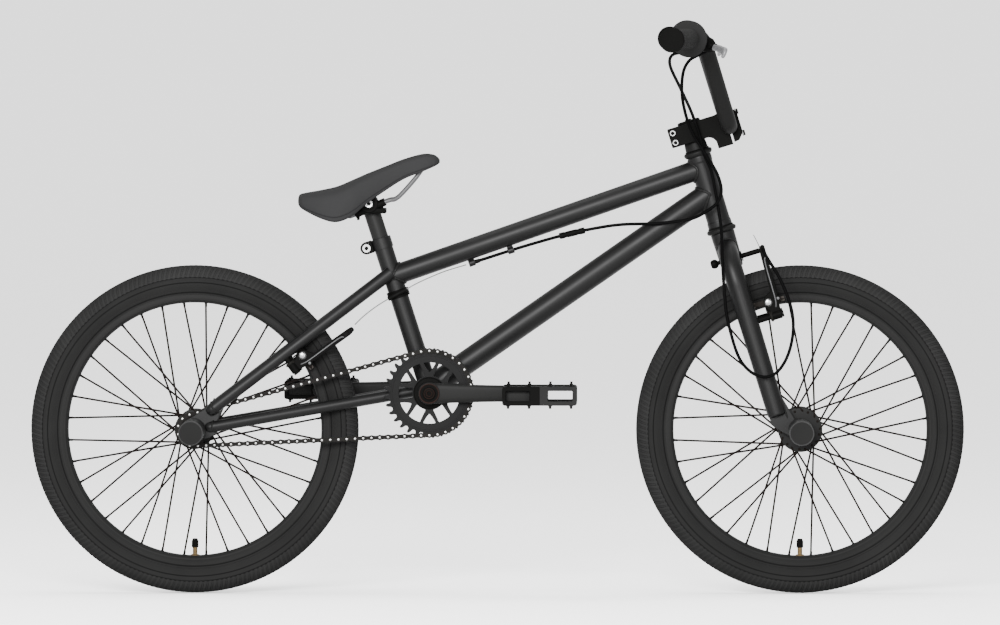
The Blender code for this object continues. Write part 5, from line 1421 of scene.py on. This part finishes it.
SADDLE_STATIONS = [
    (-0.3058, 0.6085, 0.6015, 0.026, 0.2),
    (-0.304, 0.6135, 0.597, 0.04, 0.22),
    (-0.297, 0.616, 0.591, 0.055, 0.28),
    (-0.27, 0.6209, 0.5778, 0.07, 0.5),
    (-0.2461, 0.6264, 0.5724, 0.072, 0.62),
    (-0.2225, 0.6363, 0.5813, 0.065, 0.66),
    (-0.2, 0.6462, 0.6, 0.052, 0.6),
    (-0.1724, 0.6572, 0.6195, 0.038, 0.55),
    (-0.1433, 0.6686, 0.6377, 0.03, 0.45),
    (-0.115, 0.6762, 0.6491, 0.027, 0.38),
    (-0.099, 0.6755, 0.656, 0.022, 0.25),
    (-0.0915, 0.6712, 0.66, 0.015, 0.2),
    (-0.0885, 0.667, 0.6628, 0.007, 0.2),
]


def spline(values, t):
    """A smooth curve through evenly numbered values."""
    i = min(len(values) - 2, max(0, int(t)))
    u = t - i
    a, b, c, d = (values[max(0, min(len(values) - 1, i + k))] for k in (-1, 0, 1, 2))
    a, b, c, d = np.array(a), np.array(b), np.array(c), np.array(d)
    return 0.5 * (
        2 * b + (c - a) * u + (2 * a - 5 * b + 4 * c - d) * u * u + (3 * b - a - 3 * c + d) * u**3)


def saddle_ring(station):
    x, top, bottom, half, hollow = station
    height = top - bottom
    under = bottom + hollow * height
    right = [(0.0, top), (0.34, top - 0.012 * height), (0.62, top - 0.07 * height),
        (0.85, top - 0.18 * height)]
    right += [(0.95, top - 0.34 * height), (1.0, bottom + 0.42 * height), (1.0, bottom + 0.22 * height)]
    right += [(0.97, bottom + 0.05 * height), (0.92, bottom), (0.86, bottom + 0.02 * height)]
    right += [(0.8, bottom + 0.1 * height), (0.66, under), (0.33, under)]
    knots = right + [(0.0, under)] + [(-share, z) for share, z in reversed(right[1:])]
    count = 96
    made = []
    closed = knots[-1:] + knots + knots[:2]
    for i in range(count):
        t = i * len(knots) / count
        k = int(t)
        u = t - k
        a, b, c, d = (np.array(closed[k + m]) for m in range(4))
        share, z = 0.5 * (
            2 * b + (c - a) * u + (2 * a - 5 * b + 4 * c - d) * u * u + (3 * b - a - 3 * c + d) * u**3)
        made.append(Vector((x, half * share, z)))
    return made


def make_saddle():
    rings = []
    spans = 8
    last = len(SADDLE_STATIONS) - 1
    for i in range(last * spans + 1):
        rings.append(saddle_ring([float(v) for v in spline(SADDLE_STATIONS, i / spans)]))
    body = loft(rings)
    piping = []
    for side in (-1, 1):
        path = []
        for i in range(spans, last * spans - spans, 2):
            x, top, bottom, half = [float(v) for v in spline(SADDLE_STATIONS, i / spans)[:4]]
            path.append(Vector((x, side * half * 0.992, bottom + 0.14 * (top - bottom))))
        piping.append(swept(path, [0.0007] * len(path), 8))
    shell = piece("saddle_cover", "saddle", ["saddle"],
        [(body, VINYL), (merged(piping), SEAM)], 60)


RAIL_LIFT = -0.0078
RAIL_TILT = 0.42


def make_rails():
    base = SADDLE_PIVOT + RAIL_LIFT * UP
    steps = [
        (-0.05, 0.005, 0.029), (-0.041, -0.006, 0.0275), (-0.031, -0.0112, 0.025),
        (-0.0235, -RAIL_TILT * 0.0235, 0.022), (0.027, RAIL_TILT * 0.027, 0.022),
        (0.04, 0.0145, 0.0205), (0.051, 0.0235, 0.018), (0.07, 0.045, 0.0145), (0.08, 0.0585, 0.01),
    ]
    left = [base + Vector((x, y, z)) for x, z, y in steps]
    right = [mirrored(point) for point in left[::-1]]
    route = smooth_route(left + right, 0.003)
    rails = swept(route, [0.0035] * len(route), 28)
    piece("saddle_rail_detail", "saddle", ["saddle_rails"], [(rails, RAIL)])


def make_rail_clamp():
    black, dark, bright = [], [], []
    for side in (-1, 1):
        middle = SADDLE_PIVOT + side * 0.0165 * LEFT
        cheek = [
            (0.0036, 0.0), (0.0136, 0.0), (0.014, 0.0006), (0.014, 0.0128), (0.013, 0.0136), (0.01, 0.0136),
            (0.0092, 0.0128), (0.0036, 0.0128)]
        black.append(turned(cheek, middle, side * LEFT, 56))
        rail = SADDLE_PIVOT + RAIL_LIFT * UP + side * 0.022 * LEFT
        run = Vector((1.0, 0.0, RAIL_TILT)).normalized()
        black.append(tube(rail - 0.0235 * run, rail + 0.0265 * run, 0.006, sides=36, soft=0.0008))
        black.append(block(rail - 0.004 * UP + 0.0015 * run, (0.05, 0.011, 0.008), UP, run, 0.0016))
        for reach in (-0.018, 0.0215):
            dark.append(tube(rail + reach * run - 0.0108 * UP, rail + reach * run - 0.004 * UP, 0.0017,
                sides=20, soft=0.0004))
        end = SADDLE_PIVOT + side * 0.03 * LEFT
        bright.append(turned([(0.0022, 0.0), (0.0022, 0.0028), (0.0034, 0.0034), (0.0058, 0.0034),
            (0.0062, 0.0028), (0.0062, 0.0)],
                             end, side * LEFT, 40))
        dark.append(tube(end, end + side * 0.0022 * LEFT, 0.0024, sides=24))
    bolt = tube(SADDLE_PIVOT - 0.033 * LEFT, SADDLE_PIVOT + 0.033 * LEFT, 0.0036, sides=24)
    piece("rail_clamp_detail", "saddle", ["seat_rail_clamp"],
          [(merged(black), BLACK), (merged([bolt, *dark]), BLACK_SATIN), (merged(bright), STEEL)])


def make_seat_post():
    foot = SEAT_TUBE_TOP - 0.085 * SEAT_UP
    top = SADDLE_PIVOT + 0.006 * SEAT_UP
    post = tube(foot, top, 0.0127, sides=64, soft=0.001)
    marks = []
    for i in range(1, 5):
        at = SEAT_TUBE_TOP + (0.0085 + 0.01 * i) * SEAT_UP
        marks.append(turned([(0.01265, -0.0001), (0.01282, -0.0001), (0.01282, 0.0001), (0.01265, 0.0001)],
            at, SEAT_UP, 48))
    piece("seat_post_detail", "seat_post", ["seat_post"], [(post, POST)])


def make_seat_clamp():
    top = SEAT_TUBE_TOP + 0.0035 * SEAT_UP
    profile = [
        (0.0134, 0.003), (0.0153, 0.003), (0.0157, 0.0026), (0.0157, -0.0137), (0.0154, -0.014),
        (0.0149, -0.014),
        (0.0149, -0.0032), (0.0134, -0.0032)]
    shapes = [(turned(profile, top, SEAT_UP, 72), PAINT)]
    back = LEFT.cross(SEAT_UP).normalized()
    back = -back if back.x > 0 else back
    bolt = top + 0.025 * back - 0.0055 * SEAT_UP
    round_end = circle((0.025, -0.0055), 0.0095, 25, math.radians(-90), math.radians(180))
    for side in (-1, 1):
        outline = [(0.015, -0.015), *round_end, (0.015, 0.004)]
        lug = plate([outline], 0.008, top + side * 0.005 * LEFT, back, SEAT_UP, 0.0008)
        end = bolt + side * 0.009 * LEFT
        ring = turned([(0.003, -0.0004), (0.003, 0.001), (0.0062, 0.001), (0.0065, 0.0006),
            (0.0065, -0.0004)],
                      end, side * LEFT, 40)
        shapes += [(lug, BLACK), (ring, STEEL),
            (socket_bolt(end, side * LEFT, 0.0031, 0.0016, 0.0019), BLACK_SATIN)]
    piece("seat_clamp_detail", "frame", ["seat_clamp"], shapes)


RING_WIRE_FRONT = Vector((-0.1405, -0.02, 0.468))
RING_WIRE_REAR = Vector((-0.166, -0.02, 0.4543))


def make_cable_ring():
    centre = CRANK_AXIS + 0.1587 * SEAT_UP
    profile = [(0.0149, 0.006), (0.0168, 0.006), (0.0172, 0.0055), (0.0172, -0.0055), (0.0168, -0.006),
        (0.0149, -0.006)]
    band = turned(profile, centre, SEAT_UP, 64)
    wire = (RING_WIRE_REAR - RING_WIRE_FRONT).normalized()
    middle = (RING_WIRE_REAR + RING_WIRE_FRONT) / 2
    tunnel = turned([
        (0.0014, -0.0165), (0.003, -0.0165), (0.0035, -0.0158), (0.0035, -0.012), (0.003, -0.0112),
        (0.003, 0.0112),
        (0.0035, 0.012), (0.0035, 0.0158), (0.003, 0.0165), (0.0014, 0.0165)], middle, wire, 32)
    piece("cable_ring_detail", "frame", ["seat_tube_cable_ring"],
          [(band, BLACK), (tunnel, BLACK_SATIN)])


# Brakes

PIVOT_OUT = 0.0455
PIVOT_ALONG = 0.18
PIVOT_FORWARD = 0.016
PAD_CIRCLE = 0.2025
PAD_FORWARD = 0.01


def make_brake(end, axle, along, out):
    """Two arms on their studs, each with its spring, hook, wire nut and pad; no wire joins them."""
    pad_along = math.sqrt(PAD_CIRCLE**2 - PAD_FORWARD**2)
    for hand, side in (("right", -1), ("left", 1)):
        body = f"{end}_{hand}_brake"
        origin = axle + side * PIVOT_OUT * LEFT
        pivot = origin + PIVOT_ALONG * along + PIVOT_FORWARD * out

        def at(up, forward, left=0.0):
            return origin + up * along + forward * out + side * left * LEFT

        outline = [
            (0.009, 0.176), (0.0235, 0.176), (0.0272, 0.205), (0.0295, 0.28), (0.0285, 0.286),
            (0.0215, 0.286),
            (0.0205, 0.279), (0.018, 0.218), (0.004, 0.209), (0.004, 0.195), (0.009, 0.188)]
        soft_outline = [tuple(p) for p in rounded(outline, 0.0028, 4, True)]
        stud = circle((PAD_FORWARD, pad_along), 0.0036, 24)
        arm = plate([soft_outline, stud], 0.0064, origin, out, along, 0.0011)
        barrel = turned([
            (0.0046, -0.0098), (0.0062, -0.0098), (0.0068, -0.009), (0.0068, 0.0078), (0.0062, 0.0085),
            (0.0046, 0.0085)],
            pivot, out, 48)
        head_ring = turned([(0.0, 0.0086), (0.0052, 0.0086), (0.0056, 0.0092), (0.0056, 0.0112),
            (0.005, 0.012), (0.003, 0.012),
                            (0.0026, 0.0106), (0.0, 0.0106)], pivot, out, 40)
        shapes = [(merged([arm, barrel]), BLACK), (head_ring, BLACK_SATIN)]
        spring = coil(pivot - 0.009 * out, out, 0.0076, 0.0008, 2.4, 0.0036)
        hook = smooth_route([
            at(0.1895, 0.0185, 0.0015), at(0.201, 0.0215, 0.0046), at(0.218, 0.0222, 0.0048),
            at(0.248, 0.0226, 0.0046),
            at(0.266, 0.0236, 0.0044), at(0.27, 0.0262, 0.004)], 0.003)
        stop = tube(at(0.204, 0.0262, 0.001), at(0.204, 0.0262, 0.0056), 0.0022, sides=24, soft=0.0006)
        shapes.append((spring, CHAIN_DARK))
        shapes.append((merged([stop, swept(hook, [0.001] * len(hook), 12)]), RAIL))
        if end == "front" and hand == "right":
            tail = smooth_route([at(0.276, 0.0225, 0.0044), at(0.29, 0.0215, 0.004),
                at(0.308, 0.0185, 0.003)], 0.002)
            shapes.append((swept(tail, [0.0005] * len(tail), 8), CHAIN_DARK))
        wire_nut = at(0.2745, 0.0245, 0.0034)
        nut = turned([(0.0, 0.0), (0.004, 0.0), (0.0042, 0.0004), (0.0042, 0.0024), (0.0036, 0.003),
            (0.0, 0.003)], wire_nut, side * LEFT, 36)
        shapes.append((nut, BLACK_SATIN))
        piece(f"{end}_brake_arm_{hand}_detail", body, [f"{end}_brake_arm_{hand}"], shapes)

        stud_centre = axle + pad_along * along + PAD_FORWARD * out
        radial = (stud_centre - axle).normalized()
        tangent = radial.cross(LEFT).normalized()
        face, back, head = 0.0182, 0.03, PIVOT_OUT + 0.0035
        shoe_section = []
        for i in range(-16, 17):
            t = i / 16
            x = 0.025 * t
            width = 0.0052 * (1 - 0.75 * abs(t) ** 5)
            shoe_section.append((x, width))
        ring_list = []
        for x, width in shoe_section:
            bow = -0.9 * x * x
            centre = stud_centre + x * tangent + bow * radial
            ring = []
            for k in range(20):
                a = math.tau * k / 20
                depth = (back + face) / 2 + (back - face) / 2 * math.copysign(abs(math.cos(a)) ** 0.35,
                    math.cos(a))
                high = width * 0.82 * math.copysign(abs(math.sin(a)) ** 0.35, math.sin(a))
                ring.append(centre + side * depth * LEFT + high * radial)
            ring_list.append(ring)
        shoe = loft(ring_list)
        tips = []
        for way in (-1, 1):
            centre = stud_centre + way * 0.0225 * tangent - 0.00045 * radial + side * (
                back + face) / 2 * LEFT
            tips.append(block(centre, (0.0064, 0.011, 0.0074), radial, tangent, 0.0016))
        stud_rod = tube(stud_centre + side * 0.025 * LEFT, stud_centre + side * (head + 0.001) * LEFT,
            0.003, sides=28)
        start = stud_centre + side * (head - 0.0003) * LEFT
        cap = turned([
            (0.0, 0.0), (0.0056, 0.0), (0.0058, 0.0004), (0.0058, 0.0011), (0.0054, 0.0014),
            (0.0052, 0.003),
            (0.0042, 0.0044), (0.0022, 0.005), (0, 0.0051)], start, side * LEFT, 40)
        piece(f"{end}_brake_pad_{hand}_detail", body, [f"{end}_brake_pad_{hand}"],
              [(shoe, PAD), (merged(tips), PAD_TIP), (merged([stud_rod, cap]), STEEL)])


# Cables

REAR_HOUSING_ROUTE = [
    (0.3268, -0.1808, 0.8452), (0.323, -0.169, 0.837), (0.308, -0.158, 0.829), (0.2935, -0.143, 0.82),
    (0.285, -0.122, 0.803), (0.2828, -0.098, 0.778),
    (0.285, -0.072, 0.7548), (0.2925, -0.05, 0.7255), (0.303, -0.043, 0.702), (0.3101, -0.041, 0.691),
    (0.3236, -0.0405, 0.6694), (0.3372, -0.0405, 0.6468), (0.344, -0.0405, 0.622), (0.339, -0.041, 0.6038),
    (0.3236, -0.038, 0.5902), (0.2965, -0.03, 0.5766), (0.25, -0.0235, 0.57), (0.188, -0.018, 0.5677),
    (0.1341, -0.013, 0.559), (0.0955, -0.0085, 0.5498), (0.05, -0.0022, 0.5368), (0.0208, 0.0, 0.5278),
    (-0.006, 0.0, 0.5192), (-0.037, 0.0, 0.5092),
]
REAR_WIRE_ROUTE = [
    (-0.048, 0.0, 0.5056), (-0.08, -0.007, 0.496), (-0.106, -0.014, 0.4855), (-0.126, -0.0185, 0.4762),
    RING_WIRE_FRONT, RING_WIRE_REAR, (-0.186, -0.0245, 0.442), (-0.205, -0.035, 0.4275),
    (-0.218, -0.044, 0.415),
]
FRONT_HOUSING_ROUTE = [
    (0.3268, 0.1808, 0.8452), (0.323, 0.169, 0.837), (0.308, 0.159, 0.83), (0.286, 0.15, 0.831),
    (0.269, 0.138, 0.827), (0.266, 0.113, 0.811), (0.281, 0.058, 0.7779), (0.294, -0.008, 0.75),
    (0.302, -0.0345, 0.73), (0.3105, -0.033, 0.705),
    (0.3175, -0.0315, 0.6763), (0.3282, -0.03, 0.6516), (0.3349, -0.031, 0.6197), (0.3395, -0.0335, 0.5925),
    (0.3439, -0.043, 0.5591), (0.3452, -0.062, 0.5132), (0.3483, -0.072, 0.4666), (0.3529, -0.0745, 0.425),
    (0.3681, -0.0765, 0.3714), (0.3854, -0.0785, 0.3464), (0.4065, -0.08, 0.3361), (0.4256, -0.08, 0.3407),
    (0.441, -0.08, 0.3598), (0.4506, -0.079, 0.3868), (0.4537, -0.078, 0.4173), (0.4487, -0.076, 0.4481),
    (0.4333, -0.072, 0.4863), (0.4181, -0.069, 0.5113), (0.4095, -0.066, 0.526), (0.407, -0.061, 0.5335),
    (0.4064, -0.0545, 0.535),
]


def make_cables():
    front = smooth_route([Vector(point) for point in FRONT_HOUSING_ROUTE], 0.005)
    ends = [tube(front[0], front[3], 0.0033, sides=24, soft=0.0004),
        tube(front[-1], front[-3], 0.0033, sides=24, soft=0.0004)]
    piece("front_cable_detail", "steering", ["front_brake_cable"],
          [(swept(front, [0.0025] * len(front), 16), CABLE), (merged(ends), BLACK_SATIN)])
    rear = smooth_route([Vector(point) for point in REAR_HOUSING_ROUTE], 0.005)
    ends = [tube(rear[0], rear[3], 0.0033, sides=24, soft=0.0004),
        tube(rear[-1], rear[-3], 0.0033, sides=24, soft=0.0004)]
    shape = merged([swept(rear, [0.0025] * len(rear), 16)])
    housing = piece("rear_cable_detail", None, ["rear_brake_cable"],
        [(shape, CABLE), (merged(ends), BLACK_SATIN)])
    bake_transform(housing)
    wire = smooth_route([Vector(point) for point in REAR_WIRE_ROUTE], 0.004)
    piece("rear_wire_detail", "frame", ["rear_brake_wire"],
        [(swept(wire, [0.0009] * len(wire), 12), WIRE)])
    start, end = Vector((0.1341, -0.013, 0.559)), Vector((0.0955, -0.0085, 0.5498))
    run = (end - start).normalized()
    length = (end - start).length
    profile = [(0.0037, 0.0), (0.0044, 0.0), (0.0049, 0.0007), (0.0049, 0.008), (0.0044, 0.0086),
        (0.0044, 0.012)]
    profile += [(0.0049, 0.0126), (0.0049, length - 0.0126), (0.0044, length - 0.012),
        (0.0044, length - 0.0086)]
    profile += [(0.0049, length - 0.008), (0.0049, length - 0.0007), (0.0044, length), (0.0037, length)]
    sleeve = turned(profile, start, run, 36)
    piece("coupling_detail", "frame", ["cable_coupling"], [(sleeve, BLACK)])


def build_bicycle():
    for end, axle in (("front", FRONT_AXLE), ("rear", REAR_AXLE)):
        make_tyre(end, axle)
        make_rim(end, axle)
        make_hub(end, axle)
        make_valve(end, axle)
    make_axle_and_pegs("front", FRONT_AXLE, "steering", 0.005, 0.074, 0.0564, 0.0062)
    make_axle_and_pegs("rear", REAR_AXLE, "frame", 0.007, 0.08, 0.0614, 0.0082)
    make_frame()
    make_fork()
    make_headset()
    make_stem()
    make_handlebar()
    for hand, side in (("right", -1), ("left", 1)):
        make_grip(hand, side)
        make_lever(hand, side)
        make_crank(hand, side)
        make_pedal(hand, side)
    make_bottom_bracket()
    make_chainring()
    make_cog(make_chain())
    make_seat_post()
    make_seat_clamp()
    make_cable_ring()
    make_rails()
    make_rail_clamp()
    make_saddle()
    make_brake("front", FRONT_AXLE, STEER_UP, STEER_FORWARD)
    make_brake("rear", REAR_AXLE, STAY_DIRECTION, STAY_OUT)
    make_cables()


# Studio

FLOOR_RADIUS = 120.0
FLOOR_STEPS = 96
SKY_STRENGTH = 2.0


def area_light(name, place, target, size, power):
    data = bpy.data.lights.new(name, "AREA")
    data.shape = "RECTANGLE"
    data.size, data.size_y = size
    data.energy = power
    light = bpy.data.objects.new(name, data)
    light.location = place
    light.rotation_euler = (Vector(target) - Vector(place)).to_track_quat("-Z", "Y").to_euler()
    bpy.context.scene.collection.objects.link(light)


def make_floor():
    """A plain pale floor, large enough to reach past every view."""
    points, faces = [(0.0, 0.0, 0.0)], []
    for i in range(FLOOR_STEPS):
        a = math.tau * i / FLOOR_STEPS
        points.append((FLOOR_RADIUS * math.cos(a), FLOOR_RADIUS * math.sin(a), 0.0))
        faces.append((0, i + 1, (i + 1) % FLOOR_STEPS + 1))
    mesh = bpy.data.meshes.new("studio_floor")
    mesh.from_pydata(points, [], faces)
    mesh.materials.append(FLOOR)
    floor = bpy.data.objects.new("studio_floor", mesh)
    bpy.context.scene.collection.objects.link(floor)


def make_world():
    world = bpy.data.worlds.new("studio")
    world.use_nodes = True
    background = world.node_tree.nodes["Background"]
    background.inputs["Color"].default_value = (1.0, 1.0, 1.0, 1.0)
    background.inputs["Strength"].default_value = SKY_STRENGTH
    bpy.context.scene.world = world


def make_studio():
    make_floor()
    make_world()
    area_light("key", (-1.0, -5.6, 2.0), (0.0, 0.0, 0.4), (2.6, 1.6), 1450.0)
    area_light("fill", (2.4, -4.8, 1.0), (0.1, 0.0, 0.4), (1.6, 1.2), 160.0)
    area_light("top", (0.0, 0.2, 3.6), (0.0, 0.0, 0.0), (3.0, 1.6), 120.0)


build_bicycle()
make_studio()
